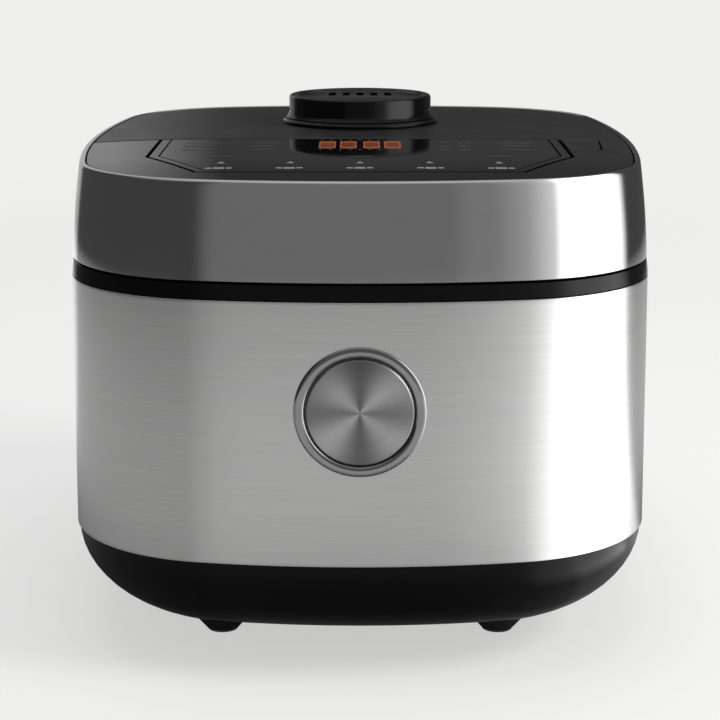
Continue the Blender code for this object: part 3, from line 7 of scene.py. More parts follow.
import bmesh
import bpy
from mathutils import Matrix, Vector


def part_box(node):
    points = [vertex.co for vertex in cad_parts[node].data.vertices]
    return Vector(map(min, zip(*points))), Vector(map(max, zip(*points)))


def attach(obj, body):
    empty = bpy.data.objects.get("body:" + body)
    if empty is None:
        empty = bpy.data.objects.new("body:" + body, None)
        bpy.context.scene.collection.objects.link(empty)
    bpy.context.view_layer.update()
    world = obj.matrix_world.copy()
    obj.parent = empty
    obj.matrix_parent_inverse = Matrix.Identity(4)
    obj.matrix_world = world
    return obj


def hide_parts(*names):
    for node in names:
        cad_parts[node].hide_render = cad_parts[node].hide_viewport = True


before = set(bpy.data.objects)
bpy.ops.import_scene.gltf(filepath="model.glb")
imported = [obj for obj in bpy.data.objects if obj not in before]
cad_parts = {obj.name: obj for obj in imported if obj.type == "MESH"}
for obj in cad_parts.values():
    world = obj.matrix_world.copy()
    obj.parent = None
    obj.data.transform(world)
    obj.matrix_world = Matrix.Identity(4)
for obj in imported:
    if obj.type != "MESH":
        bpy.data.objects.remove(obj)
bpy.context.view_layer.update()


# ---------------------------------------------------------------- places taken from the frame
def low_high(node, axis):
    """Lowest and highest coordinate of a CAD node along an axis."""
    low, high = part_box(node)
    return low[axis], high[axis]


STEEL_BOTTOM, STEEL_TOP = low_high("body_wrap", 2)
BASE_BOTTOM, BASE_TOP = low_high("base_shell", 2)
BASE_HALF_WIDTH = low_high("base_shell", 0)[1]
BAND_TOP = low_high("top_collar", 2)[1]
LID_BOTTOM, RIM_TOP = low_high("lid_ring", 2)
COVER_BOTTOM, COVER_CREST = low_high("rear_cover", 2)
COVER_HALF_WIDTH = low_high("rear_cover", 0)[1]
COLLAR_BOTTOM = COVER_CREST + 0.0003
COLLAR_TOP = low_high("steam_collar", 2)[1]
COLLAR_RADIUS = low_high("steam_collar", 0)[1]
CAP_FLARE = 0.0017
CAP_RADIUS = low_high("steam_cap", 0)[1] - CAP_FLARE
SPIGOT_RADIUS = CAP_RADIUS - 0.0022
CAP_BOTTOM, CAP_TOP = low_high("steam_cap", 2)
SEAM_FRONT = low_high("rear_cover", 1)[0] - 0.0004
BUTTON_FRONT = low_high("lid_button", 1)[0]
BUTTON_RADIUS = low_high("lid_button", 0)[1]
BUTTON_Z = (low_high("button_bezel", 2)[0] + low_high("button_bezel", 2)[1]) / 2
STEAM_Y = (low_high("steam_collar", 1)[0] + low_high("steam_collar", 1)[1]) / 2

# Plan of the body: three tangent arcs a quadrant, which shrink alike when it is moved in.
HALF_WIDTH = BASE_HALF_WIDTH
HALF_DEPTH = low_high("base_shell", 1)[1]
FRONT_RADIUS = 0.397
SIDE_RADIUS = 0.769
CORNER_RADIUS = 0.0815
SIDE_STEPS = 8
CORNER_STEPS = 22
FRONT_STEPS = 12

GAP = 0.0003
BUTTON_HOLE_RADIUS = 0.0281
BUTTON_GAP = 0.0010
BEZEL_WIDTH = 0.0048
BEZEL_RISE = 0.0010
STEEL_FLARE = 0.00107
STEEL_WALL = 0.0012
BASE_TUCK = 0.0775
BASE_WALL = 0.0025
BAND_BOTTOM = STEEL_TOP + GAP
BAND_DRAFT = 0.0008
LIP_WIDTH = 0.0024
DECK_TOP = BAND_TOP - 0.0042
DECK_WALL = 0.003
POT_HOLE_RADIUS = 0.1185
LID_FOOT_INSET = 0.00084
LID_DRAFT = 0.00442
RING_WALL = 0.0022
COVER_INSET = HALF_WIDTH - COVER_HALF_WIDTH
LIP_INSET = COVER_INSET - 0.0006
CROWN = 0.0020
CROWN_REACH = 0.075
PANEL_HALF_WIDTH = 0.1060
PANEL_BAR = 0.0060
PANEL_GROOVE = 0.0018
HALF_DEPTH_CENTRE = FRONT_RADIUS - HALF_DEPTH      # the front arc's centre lies this far to the rear
HINGE_Y = 0.174
HINGE_Z = 0.215


# ---------------------------------------------------------------- working in edit mode
def new_piece(name, place=(0.0, 0.0, 0.0)):
    """A new mesh object at the origin, in edit mode, holding one selected vertex at a place."""
    bpy.ops.object.select_all(action="DESELECT")
    bpy.ops.mesh.primitive_plane_add(size=0.001, location=place)
    obj = bpy.context.object
    obj.name = name
    obj.data.name = name
    bpy.ops.object.transform_apply(location=True, rotation=True, scale=True)
    bpy.ops.object.mode_set(mode="EDIT")
    bpy.ops.mesh.select_mode(type="VERT")
    bpy.ops.mesh.select_all(action="SELECT")
    bpy.ops.mesh.merge(type="CENTER")
    return obj


def draw_line(points, closed=False):
    """Extend the selected vertex through points; a closed line is joined to its first point."""
    for here, ahead in zip(points, points[1:]):
        step = Vector(ahead) - Vector(here)
        bpy.ops.mesh.extrude_vertices_move(TRANSFORM_OT_translate={"value": step})
    if closed:
        step = Vector(points[0]) - Vector(points[-1])
        bpy.ops.mesh.extrude_vertices_move(TRANSFORM_OT_translate={"value": step})
        tidy_doubles()


def tidy_doubles(distance=0.000002):
    bpy.ops.mesh.select_all(action="SELECT")
    bpy.ops.mesh.remove_doubles(threshold=distance)


def close_ring(obj, wanted):
    """Close the open ring that wanted(place) picks out with one flat face."""
    bpy.ops.mesh.select_all(action="DESELECT")
    mesh = bmesh.from_edit_mesh(obj.data)
    for edge in mesh.edges:
        if edge.is_boundary or edge.is_wire:
            if all(wanted(vertex.co) for vertex in edge.verts):
                edge.select_set(True)
    bmesh.update_edit_mesh(obj.data)
    bpy.ops.mesh.edge_face_add()


def leave_edit(obj, angle=35.0):
    """Point the faces outwards and shade the piece smooth up to an angle."""
    bpy.ops.mesh.select_all(action="SELECT")
    bpy.ops.mesh.normals_make_consistent(inside=False)
    bpy.ops.object.mode_set(mode="OBJECT")
    bpy.ops.object.shade_smooth_by_angle(angle=math.radians(angle))
    return obj


def soften(points, radius, steps=3, flat=158.0):
    """A closed outline whose corners become short arcs; nearly straight ones stay as they are."""
    result = []
    count = len(points)
    for i in range(count):
        here = Vector(points[i])
        before = Vector(points[i - 1]) - here
        after = Vector(points[(i + 1) % count]) - here
        opening = before.angle(after)
        if math.degrees(opening) > flat:
            result.append(tuple(here))
            continue
        trim = min(radius / math.tan(opening / 2), 0.45 * before.length, 0.45 * after.length)
        start = here + before.normalized() * trim
        end = here + after.normalized() * trim
        for k in range(steps + 1):
            t = k / steps
            result.append(tuple((1 - t) ** 2 * start + 2 * t * (1 - t) * here + t ** 2 * end))
    return result


def apply_modifier(obj, kind, **settings):
    """Add a modifier, set it up and apply it."""
    bpy.ops.object.select_all(action="DESELECT")
    bpy.context.view_layer.objects.active = obj
    obj.select_set(True)
    modifier = obj.modifiers.new(kind.title(), kind)
    for key, value in settings.items():
        setattr(modifier, key, value)
    bpy.ops.object.modifier_apply(modifier=modifier.name)
    return obj


def joined(pieces):
    """Make one object of several; the first keeps its name."""
    if len(pieces) > 1:
        bpy.ops.object.select_all(action="DESELECT")
        for piece in pieces:
            piece.select_set(True)
        bpy.context.view_layer.objects.active = pieces[0]
        bpy.ops.object.join()
    return pieces[0]


def cut(obj, *cutters, operation="DIFFERENCE"):
    """Cut, keep or join with helper solids that stand clear of each other, which are then removed."""
    cutter = joined(cutters)
    apply_modifier(obj, "BOOLEAN", operation=operation, object=cutter, solver="EXACT")
    bpy.data.objects.remove(cutter, do_unlink=True)
    bpy.ops.object.shade_smooth_by_angle(angle=math.radians(30))
    return obj


def round_edges(obj, width=0.0003, segments=2, angle=50.0):
    """Bevel the sharp edges and smooth what is left."""
    apply_modifier(obj, "BEVEL", width=width, segments=segments, limit_method="ANGLE",
                   angle_limit=math.radians(angle), use_clamp_overlap=True, miter_outer="MITER_ARC",
                   harden_normals=False)
    bpy.ops.object.shade_smooth_by_angle(angle=math.radians(40))
    return apply_modifier(obj, "WEIGHTED_NORMAL", keep_sharp=True, weight=60)


# ---------------------------------------------------------------- shapes
def corner_centre():
    """The corner arc's centre: tangent inside to the front arc and to the side arc."""
    front = Vector((0.0, HALF_DEPTH - FRONT_RADIUS))
    side = Vector((HALF_WIDTH - SIDE_RADIUS, 0.0))
    to_front = FRONT_RADIUS - CORNER_RADIUS
    to_side = SIDE_RADIUS - CORNER_RADIUS
    line = side - front
    along = (to_front ** 2 - to_side ** 2 + line.length_squared) / (2 * line.length)
    away = math.sqrt(to_front ** 2 - along ** 2)
    unit = line.normalized()
    choices = [front + along * unit + s * away * Vector((-unit.y, unit.x)) for s in (1, -1)]
    return max(choices, key=lambda point: point.x + point.y)


def plan_swings():
    """The turns that carry a section round the plan: each arc's centre, its angle and steps."""
    front = HALF_DEPTH - FRONT_RADIUS
    side = HALF_WIDTH - SIDE_RADIUS
    corner = corner_centre()
    first = math.atan2(corner.y, corner.x - side)
    second = math.atan2(corner.y - front, corner.x)
    bend = second - first
    face = math.pi - 2 * second
    x, y = corner
    return [
        ((side, 0.0), first, SIDE_STEPS), ((x, y), bend, CORNER_STEPS), ((0.0, front), face, 2 * FRONT_STEPS),
        ((-x, y), bend, CORNER_STEPS), ((-side, 0.0), 2 * first, 2 * SIDE_STEPS),
        ((-x, -y), bend, CORNER_STEPS), ((0.0, -front), face, 2 * FRONT_STEPS),
        ((x, -y), bend, CORNER_STEPS), ((side, 0.0), first, SIDE_STEPS),
    ]


def sweep_plan(name, section, closed=True):
    """Carry a section of (inset, height) points round the body's plan."""
    places = [(HALF_WIDTH - inset, 0.0, height) for inset, height in section]
    obj = new_piece(name, places[0])
    draw_line(places, closed)
    bpy.ops.mesh.select_all(action="SELECT")
    for (x, y), angle, steps in plan_swings():
        bpy.ops.mesh.spin(steps=steps, angle=-angle, center=(x, y, 0.0), axis=(0.0, 0.0, 1.0))
    tidy_doubles()
    return obj


def spin_section(name, section, centre=(0.0, 0.0, 0.0), axis="Z", steps=96, closed=True):
    """Turn a section of (radius, height) points about an axis through a centre."""
    origin = Vector(centre)
    up = {"X": Vector((1, 0, 0)), "Y": Vector((0, 1, 0)), "Z": Vector((0, 0, 1))}[axis]
    out = {"X": Vector((0, 0, 1)), "Y": Vector((1, 0, 0)), "Z": Vector((1, 0, 0))}[axis]
    places = [origin + out * radius + up * height for radius, height in section]
    obj = new_piece(name, places[0])
    draw_line(places, closed)
    bpy.ops.mesh.select_all(action="SELECT")
    bpy.ops.mesh.spin(steps=steps, angle=-2 * math.pi, center=origin, axis=up)
    tidy_doubles()
    return obj


def prism(name, outline, low, high, axis="Z"):
    """A solid with a drawn outline: (x, y) points along Z, (y, z) points along X, (x, z) along Y."""
    def spot(point, level):
        spots = {"Z": (point[0], point[1], level), "X": (level, point[0], point[1]),
                 "Y": (point[0], level, point[1])}
        return spots[axis]
    places = [spot(point, low) for point in outline]
    obj = new_piece(name, places[0])
    draw_line(places, closed=True)
    bpy.ops.mesh.select_all(action="SELECT")
    bpy.ops.mesh.edge_face_add()
    shift = Vector(spot((0.0, 0.0), high - low))
    bpy.ops.mesh.extrude_region_move(TRANSFORM_OT_translate={"value": shift})
    return leave_edit(obj)


def block(name, low, high):
    outline = [(low[0], low[1]), (high[0], low[1]), (high[0], high[1]), (low[0], high[1])]
    return prism(name, outline, low[2], high[2])


def rod(name, radius, low, high, centre, axis="Z", steps=48):
    """A plain round cutter between two heights on an axis."""
    obj = spin_section(name, [(0.0, low), (radius, low), (radius, high), (0.0, high)], centre, axis,
                       steps, closed=False)
    return leave_edit(obj)


def finish_piece(obj, material, body, slot, *nodes):
    """Give a piece its material, its body and the nodes it stands for; the slot argument is not used."""
    obj.data.materials.clear()
    obj.data.materials.append(material)
    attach(obj, body)
    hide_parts(*nodes)
    return obj


# ---------------------------------------------------------------- materials: shared effects
def new_group(name, inputs, outputs):
    """An empty shader node group with named sockets; inputs are (name, kind, value)."""
    tree = bpy.data.node_groups.new(name, "ShaderNodeTree")
    for label, kind, value in inputs:
        socket = tree.interface.new_socket(label, in_out="INPUT", socket_type=kind)
        if value is not None:
            socket.default_value = value
    for label in outputs:
        tree.interface.new_socket(label, in_out="OUTPUT", socket_type="NodeSocketFloat")
    return tree, tree.nodes.new("NodeGroupInput"), tree.nodes.new("NodeGroupOutput")


def math_node(tree, operation, first, second, clamp=False):
    """One Math node; its inputs are sockets or numbers."""
    node = tree.nodes.new("ShaderNodeMath")
    node.operation = operation
    node.use_clamp = clamp
    for socket, value in zip(node.inputs, (first, second)):
        if isinstance(value, (int, float)):
            socket.default_value = value
        else:
            tree.links.new(value, socket)
    return node.outputs[0]


def noise_node(tree, vector, scale=1.0, detail=2.0, roughness=0.5):
    node = tree.nodes.new("ShaderNodeTexNoise")
    tree.links.new(vector, node.inputs["Vector"])
    node.inputs["Scale"].default_value = scale
    node.inputs["Detail"].default_value = detail
    node.inputs["Roughness"].default_value = roughness
    return node.outputs["Fac"]


def range_node(tree, value, low, high, to_low=0.0, to_high=1.0):
    node = tree.nodes.new("ShaderNodeMapRange")
    tree.links.new(value, node.inputs["Value"])
    for label, number in (("From Min", low), ("From Max", high), ("To Min", to_low), ("To Max", to_high)):
        node.inputs[label].default_value = number
    return node.outputs["Result"]


def stretched(tree, vector, stretch):
    node = tree.nodes.new("ShaderNodeVectorMath")
    node.operation = "MULTIPLY"
    tree.links.new(vector, node.inputs[0])
    tree.links.new(stretch, node.inputs[1])
    return node.outputs[0]


def brushed_lines_group():
    """Fine parallel scratches: long in one direction and narrow across it."""
    tree, inside, outside = new_group(
        "brushed_lines",
        [("Vector", "NodeSocketVector", None), ("Stretch", "NodeSocketVector", (16.0, 16.0, 2400.0))],
        ["Lines", "Broad"])
    spread = stretched(tree, inside.outputs["Vector"], inside.outputs["Stretch"])
    fine = noise_node(tree, spread, 1.0, 3.0, 0.65)
    broad = noise_node(tree, spread, 0.27, 2.0, 0.5)
    lines = math_node(tree, "ADD", math_node(tree, "MULTIPLY", fine, 0.65),
                      math_node(tree, "MULTIPLY", broad, 0.35))
    tree.links.new(range_node(tree, lines, 0.34, 0.66), outside.inputs["Lines"])
    tree.links.new(range_node(tree, broad, 0.32, 0.68), outside.inputs["Broad"])
    return tree


def turned_lines_group():
    """Concentric tool marks about an axis along Y through the vector's origin, and bright and dark wedges
    round it, a painted highlight of spun metal.
    """
    tree, inside, outside = new_group(
        "turned_lines", [("Vector", "NodeSocketVector", None), ("Pitch", "NodeSocketFloat", 1600.0)],
        ["Lines", "Sweep", "PaintedHighlightWedges"])
    split = tree.nodes.new("ShaderNodeSeparateXYZ")
    tree.links.new(inside.outputs["Vector"], split.inputs[0])
    across = math_node(tree, "POWER", split.outputs["X"], 2.0)
    upward = math_node(tree, "POWER", split.outputs["Z"], 2.0)
    radius = math_node(tree, "SQRT", math_node(tree, "ADD", across, upward), 0.0)
    bearing = math_node(tree, "ARCTAN2", split.outputs["Z"], split.outputs["X"])
    spot = tree.nodes.new("ShaderNodeCombineXYZ")
    tree.links.new(math_node(tree, "MULTIPLY", radius, inside.outputs["Pitch"]), spot.inputs["X"])
    tree.links.new(math_node(tree, "COSINE", bearing, 0.0), spot.inputs["Y"])
    tree.links.new(math_node(tree, "SINE", bearing, 0.0), spot.inputs["Z"])
    lines = noise_node(tree, spot.outputs[0], 1.0, 2.0, 0.6)
    sweep = noise_node(tree, spot.outputs[0], 0.18, 1.0, 0.5)
    tree.links.new(range_node(tree, lines, 0.34, 0.66), outside.inputs["Lines"])
    tree.links.new(range_node(tree, sweep, 0.34, 0.66), outside.inputs["Sweep"])
    # Bright wedges on the diagonals and dark ones on the axes are a painted highlight, the fan of reflections
    # of spun metal; a little of the tool marks is mixed in.
    twice = math_node(tree, "SINE", math_node(tree, "MULTIPLY", bearing, 2.0), 0.0)
    painted_highlight_wedges = math_node(tree, "POWER", math_node(tree, "ABSOLUTE", twice, 0.0), 2.0)
    grain = math_node(tree, "MULTIPLY", math_node(tree, "SUBTRACT", lines, 0.5), 0.14)
    tree.links.new(math_node(tree, "ADD", painted_highlight_wedges, grain, clamp=True), outside.inputs["PaintedHighlightWedges"])
    return tree


def smudge_group():
    """Broad soft patches, as wiping and handling leave on a glossy skin."""
    tree, inside, outside = new_group(
        "smudges", [("Vector", "NodeSocketVector", None), ("Scale", "NodeSocketFloat", 14.0)],
        ["Patches", "Specks"])
    node = tree.nodes.new("ShaderNodeTexNoise")
    tree.links.new(inside.outputs["Vector"], node.inputs["Vector"])
    tree.links.new(inside.outputs["Scale"], node.inputs["Scale"])
    node.inputs["Detail"].default_value = 5.0
    node.inputs["Distortion"].default_value = 0.6
    tree.links.new(range_node(tree, node.outputs["Fac"], 0.35, 0.72), outside.inputs["Patches"])
    specks = noise_node(tree, inside.outputs["Vector"], 900.0, 1.0, 0.5)
    tree.links.new(range_node(tree, specks, 0.70, 0.80), outside.inputs["Specks"])
    return tree


def moulded_grain_group():
    """The fine pebbled grain of moulded plastic and cast metal."""
    tree, inside, outside = new_group(
        "moulded_grain", [("Vector", "NodeSocketVector", None), ("Scale", "NodeSocketFloat", 1600.0)],
        ["Grain", "Mottle"])
    grain = tree.nodes.new("ShaderNodeTexNoise")
    tree.links.new(inside.outputs["Vector"], grain.inputs["Vector"])
    tree.links.new(inside.outputs["Scale"], grain.inputs["Scale"])
    grain.inputs["Detail"].default_value = 2.0
    mottle = noise_node(tree, inside.outputs["Vector"], 55.0, 4.0, 0.6)
    tree.links.new(range_node(tree, grain.outputs["Fac"], 0.3, 0.7), outside.inputs["Grain"])
    tree.links.new(range_node(tree, mottle, 0.3, 0.7), outside.inputs["Mottle"])
    return tree


GROUPS = {make.__name__: make() for make in
          (brushed_lines_group, turned_lines_group, smudge_group, moulded_grain_group)}


# ---------------------------------------------------------------- materials: one builder
class Finish:
    """A Principled material under construction, on Object coordinates."""

    def __init__(self, name, colour, roughness, metallic=0.0, specular=0.5, **constants):
        self.material = bpy.data.materials.new(name)
        self.material.use_nodes = True
        self.material.diffuse_color = (*colour, 1.0)
        self.tree = self.material.node_tree
        self.shader = self.tree.nodes["Principled BSDF"]
        self.place = self.tree.nodes.new("ShaderNodeTexCoord").outputs["Object"]
        self.shader.inputs["Base Color"].default_value = (*colour, 1.0)
        self.shader.inputs["Roughness"].default_value = roughness
        self.shader.inputs["Metallic"].default_value = metallic
        self.shader.inputs["Specular IOR Level"].default_value = specular
        for label, value in constants.items():
            self.shader.inputs[label.replace("_", " ").title()].default_value = value

    def moved(self, place, turn=(0.0, 0.0, 0.0)):
        """Object coordinates centred on a place, then turned."""
        node = self.tree.nodes.new("ShaderNodeMapping")
        node.vector_type = "TEXTURE"
        node.inputs["Location"].default_value = place
        node.inputs["Rotation"].default_value = turn
        self.tree.links.new(self.place, node.inputs["Vector"])
        return node.outputs[0]

    def effect(self, group, vector=None, **settings):
        """Place a shared effect with its own values and return its outputs."""
        node = self.tree.nodes.new("ShaderNodeGroup")
        node.node_tree = GROUPS[group]
        self.tree.links.new(self.place if vector is None else vector, node.inputs["Vector"])
        for label, value in settings.items():
            node.inputs[label.title()].default_value = value
        return node.outputs

    def colour(self, mask, low, high):
        """Base colour between two shades by a mask."""
        mix = self.tree.nodes.new("ShaderNodeMix")
        mix.data_type = "RGBA"
        self.tree.links.new(mask, mix.inputs["Factor"])
        mix.inputs["A"].default_value = (*low, 1.0)
        mix.inputs["B"].default_value = (*high, 1.0)
        self.tree.links.new(mix.outputs["Result"], self.shader.inputs["Base Color"])
        return mix.outputs["Result"]

    def roughness(self, mask, low, high):
        self.tree.links.new(range_node(self.tree, mask, 0.0, 1.0, low, high), self.shader.inputs["Roughness"])

    def bump(self, height, distance, strength=1.0):
        node = self.tree.nodes.new("ShaderNodeBump")
        node.inputs["Strength"].default_value = strength
        node.inputs["Distance"].default_value = distance
        self.tree.links.new(height, node.inputs["Height"])
        self.tree.links.new(node.outputs["Normal"], self.shader.inputs["Normal"])

    def grain_direction(self, vector):
        self.tree.links.new(vector, self.shader.inputs["Tangent"])


def grey(level, tint=(1.0, 1.0, 1.0)):
    return tuple(level * share for share in tint)


# ---------------------------------------------------------------- materials: this cooker's finishes
def brushed_steel():
    """Sleeve: steel brushed lengthwise round the body, which spreads reflections up and down."""
    finish = Finish("brushed_steel", grey(0.52), 0.30, 1.0, anisotropic=0.72)
    lines = finish.effect("brushed_lines_group")
    finish.colour(lines["Lines"], grey(0.50, (1.0, 1.0, 1.01)), grey(0.58, (1.0, 0.995, 0.975)))
    finish.roughness(lines["Broad"], 0.275, 0.305)
    finish.bump(lines["Lines"], 0.000006, 0.5)
    upright = finish.tree.nodes.new("ShaderNodeCombineXYZ")
    upright.inputs["Z"].default_value = 1.0
    finish.grain_direction(upright.outputs[0])
    return finish.material


def polished_ring_steel():
    """Lid ring: steel polished to a mirror, with faint wiping marks."""
    finish = Finish("polished_ring_steel", grey(0.50), 0.10, 1.0)
    lines = finish.effect("brushed_lines_group", stretch=(6.0, 6.0, 420.0))
    smudges = finish.effect("smudge_group", scale=9.0)
    finish.colour(lines["Lines"], grey(0.497), grey(0.508))
    finish.roughness(smudges["Patches"], 0.085, 0.125)
    return finish.material


def chrome():
    """Bezel and small metal parts: dark plated metal."""
    finish = Finish("chrome", grey(0.26, (1.0, 1.0, 1.01)), 0.09, 1.0)
    smudges = finish.effect("smudge_group", scale=40.0)
    finish.colour(smudges["Patches"], grey(0.24), grey(0.29))
    finish.roughness(smudges["Patches"], 0.07, 0.12)
    return finish.material


def spun_steel():
    """Button disc: turned on a lathe, so that its reflections fan out from the middle."""
    finish = Finish("spun_steel", grey(0.45), 0.32, 1.0, anisotropic=0.85)
    centred = finish.moved((0.0, 0.0, BUTTON_Z))
    lines = finish.effect("turned_lines_group", centred, pitch=1900.0)
    # The base colour runs from dark to pale across the wedges: a painted highlight fanning out from the
    # middle, over the real tool marks.
    finish.colour(lines["PaintedHighlightWedges"], grey(0.16), grey(0.40))
    finish.roughness(lines["Sweep"], 0.29, 0.33)
    flat = finish.tree.nodes.new("ShaderNodeVectorMath")
    flat.operation = "MULTIPLY"
    flat.inputs[1].default_value = (1.0, 0.0, 1.0)
    finish.tree.links.new(centred, flat.inputs[0])
    finish.grain_direction(flat.outputs[0])
    return finish.material


def gloss_black():
    """Base bowl and band: hard glossy plastic, a little smudged."""
    finish = Finish("gloss_black", grey(0.0032), 0.12, 0.0, specular=0.14)
    smudges = finish.effect("smudge_group", scale=12.0)
    finish.colour(smudges["Specks"], grey(0.0028), grey(0.0050))
    finish.roughness(smudges["Patches"], 0.10, 0.17)
    return finish.material


def piano_black():
    """Control panel surround, cap and collar: the glossiest plastic."""
    finish = Finish("piano_black", grey(0.003), 0.07, 0.0, specular=0.18)
    smudges = finish.effect("smudge_group", scale=20.0)
    finish.colour(smudges["Specks"], grey(0.0028), grey(0.0045))
    finish.roughness(smudges["Patches"], 0.055, 0.10)
    return finish.material


def satin_black():
    """Rear cover and inner mouldings: plastic with a fine moulded grain."""
    finish = Finish("satin_black", grey(0.010), 0.36, 0.0, specular=0.22)
    grain = finish.effect("moulded_grain_group", scale=2400.0)
    finish.colour(grain["Mottle"], grey(0.008), grey(0.012))
    finish.roughness(grain["Mottle"], 0.33, 0.42)
    finish.bump(grain["Grain"], 0.000015, 0.5)
    return finish.material


def window_glass():
    """Dark smooth window over the display and the touch keys."""
    finish = Finish("window_glass", grey(0.0026), 0.05, 0.0, specular=0.18)
    smudges = finish.effect("smudge_group", scale=26.0)
    finish.colour(smudges["Patches"], grey(0.0024), grey(0.0034))
    finish.roughness(smudges["Patches"], 0.035, 0.08)
    return finish.material


def grey_plastic():
    finish = Finish("grey_plastic", grey(0.16), 0.5, 0.0)
    grain = finish.effect("moulded_grain_group", scale=1500.0)
    finish.colour(grain["Mottle"], grey(0.14), grey(0.18, (1.0, 1.0, 1.03)))
    finish.roughness(grain["Mottle"], 0.44, 0.56)
    finish.bump(grain["Grain"], 0.00003, 0.5)
    return finish.material


def pot_coating():
    """Non-stick coating: near black, with pale mineral specks."""
    finish = Finish("pot_coating", grey(0.035), 0.32, 0.25)
    smudges = finish.effect("smudge_group", scale=30.0)
    finish.colour(smudges["Specks"], grey(0.030), grey(0.16))
    grain = finish.effect("moulded_grain_group", scale=1300.0)
    finish.roughness(grain["Mottle"], 0.26, 0.38)
    finish.bump(grain["Grain"], 0.00004, 0.5)
    return finish.material


def cast_aluminium():
    finish = Finish("cast_aluminium", grey(0.60), 0.38, 1.0)
    grain = finish.effect("moulded_grain_group", scale=1100.0)
    finish.colour(grain["Mottle"], grey(0.54), grey(0.64, (1.0, 1.0, 1.02)))
    finish.roughness(grain["Mottle"], 0.30, 0.46)
    finish.bump(grain["Grain"], 0.00004, 0.5)
    return finish.material


def spring_steel():
    finish = Finish("spring_steel", grey(0.40), 0.32, 1.0)
    lines = finish.effect("brushed_lines_group", stretch=(60.0, 900.0, 900.0))
    finish.colour(lines["Lines"], grey(0.34), grey(0.46, (1.0, 1.0, 1.03)))
    finish.roughness(lines["Broad"], 0.25, 0.42)
    return finish.material


def copper_winding():
    """Stranded winding: painted shade makes the colour darker between the turns."""
    finish = Finish("copper_winding", (0.55, 0.25, 0.11), 0.38, 1.0)
    rings = finish.tree.nodes.new("ShaderNodeTexWave")
    rings.wave_type = "RINGS"
    rings.rings_direction = "Z"
    rings.inputs["Scale"].default_value = 95.0
    rings.inputs["Distortion"].default_value = 0.4
    finish.tree.links.new(finish.place, rings.inputs["Vector"])
    # Dark between the turns is painted shade in the grooves; the same rings also drive the bump.
    finish.colour(rings.outputs["Fac"], (0.22, 0.08, 0.035), (0.66, 0.31, 0.14))
    finish.bump(rings.outputs["Fac"], 0.0004, 0.6)
    return finish.material


def ferrite():
    finish = Finish("ferrite", grey(0.04), 0.7, 0.0)
    grain = finish.effect("moulded_grain_group", scale=900.0)
    finish.colour(grain["Grain"], grey(0.03), grey(0.06, (1.0, 1.0, 1.06)))
    finish.bump(grain["Grain"], 0.00006, 0.6)
    return finish.material


def circuit_board():
    """Green solder mask with paler copper runs underneath."""
    finish = Finish("circuit_board", (0.02, 0.13, 0.06), 0.4, 0.0)
    cells = finish.tree.nodes.new("ShaderNodeTexVoronoi")
    cells.distance = "MANHATTAN"
    cells.feature = "F1"
    cells.inputs["Scale"].default_value = 190.0
    finish.tree.links.new(finish.place, cells.inputs["Vector"])
    runs = range_node(finish.tree, cells.outputs["Distance"], 0.32, 0.36)
    finish.colour(runs, (0.05, 0.22, 0.10), (0.012, 0.10, 0.045))
    finish.roughness(runs, 0.30, 0.42)
    finish.bump(runs, 0.00003, 0.5)
    return finish.material


def rubber():
    finish = Finish("rubber", grey(0.018), 0.72, 0.0, specular=0.3)
    grain = finish.effect("moulded_grain_group", scale=1300.0)
    finish.colour(grain["Mottle"], grey(0.013), grey(0.024))
    finish.roughness(grain["Mottle"], 0.6, 0.8)
    finish.bump(grain["Grain"], 0.00005, 0.5)
    return finish.material


def silicone():
    finish = Finish("silicone", grey(0.42), 0.55, 0.0, subsurface_weight=0.15)
    finish.shader.inputs["Subsurface Scale"].default_value = 0.002
    grain = finish.effect("moulded_grain_group", scale=700.0)
    finish.colour(grain["Mottle"], grey(0.38), grey(0.46, (1.0, 1.0, 0.98)))
    finish.roughness(grain["Mottle"], 0.48, 0.62)
    return finish.material


def printed_grey(name, level):
    """Pale printing on the window."""
    tint = (1.0, 0.96, 0.88)
    finish = Finish(name, grey(level, tint), 0.45, 0.0, specular=0.06)
    grain = finish.effect("moulded_grain_group", scale=2500.0)
    finish.colour(grain["Grain"], grey(0.8 * level, tint), grey(1.2 * level, tint))
    finish.roughness(grain["Mottle"], 0.4, 0.55)
    return finish.material


def lit_digit(name, colour, strength):
    """Glowing display segment, its glow mottled a little."""
    finish = Finish(name, grey(0.02), 0.4, 0.0, specular=0.04)
    grain = finish.effect("moulded_grain_group", scale=1800.0)
    finish.colour(grain["Mottle"], grey(0.012), grey(0.02))
    glow = finish.tree.nodes.new("ShaderNodeMix")
    glow.data_type = "RGBA"
    finish.tree.links.new(grain["Mottle"], glow.inputs["Factor"])
    glow.inputs["A"].default_value = (*(0.85 * c for c in colour), 1.0)
    glow.inputs["B"].default_value = (*colour, 1.0)
    finish.tree.links.new(glow.outputs["Result"], finish.shader.inputs["Emission Color"])
    finish.shader.inputs["Emission Strength"].default_value = strength
    return finish.material


STEEL = brushed_steel()
RING_STEEL = polished_ring_steel()
CHROME = chrome()
SPUN = spun_steel()
GLOSS = gloss_black()
PIANO = piano_black()
SATIN = satin_black()
GLASS = window_glass()
PLASTIC = grey_plastic()
COATING = pot_coating()
ALUMINIUM = cast_aluminium()
WIRE = spring_steel()
RUBBER = rubber()
SILICONE = silicone()
PRINT = printed_grey("printed_grey", 0.20)
DIM_PRINT = printed_grey("printed_dim_grey", 0.045)
BY_SLOT = {
    "brushed_steel": STEEL, "polished_steel": CHROME, "spring_steel": WIRE, "gloss_black": GLOSS,
    "satin_black": SATIN, "grey_plastic": PLASTIC, "window_black": GLASS, "pot_coating": COATING,
    "aluminium": ALUMINIUM, "copper": copper_winding(), "ferrite": ferrite(),
    "circuit_board": circuit_board(), "rubber": RUBBER, "silicone": SILICONE,
}


def repaint_cad_nodes():
    """Give every CAD node the detailed finish that its own material's name asks for."""
    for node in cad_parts.values():
        for holder in node.material_slots:
            holder.material = BY_SLOT[holder.material.name.split(".")[0]]


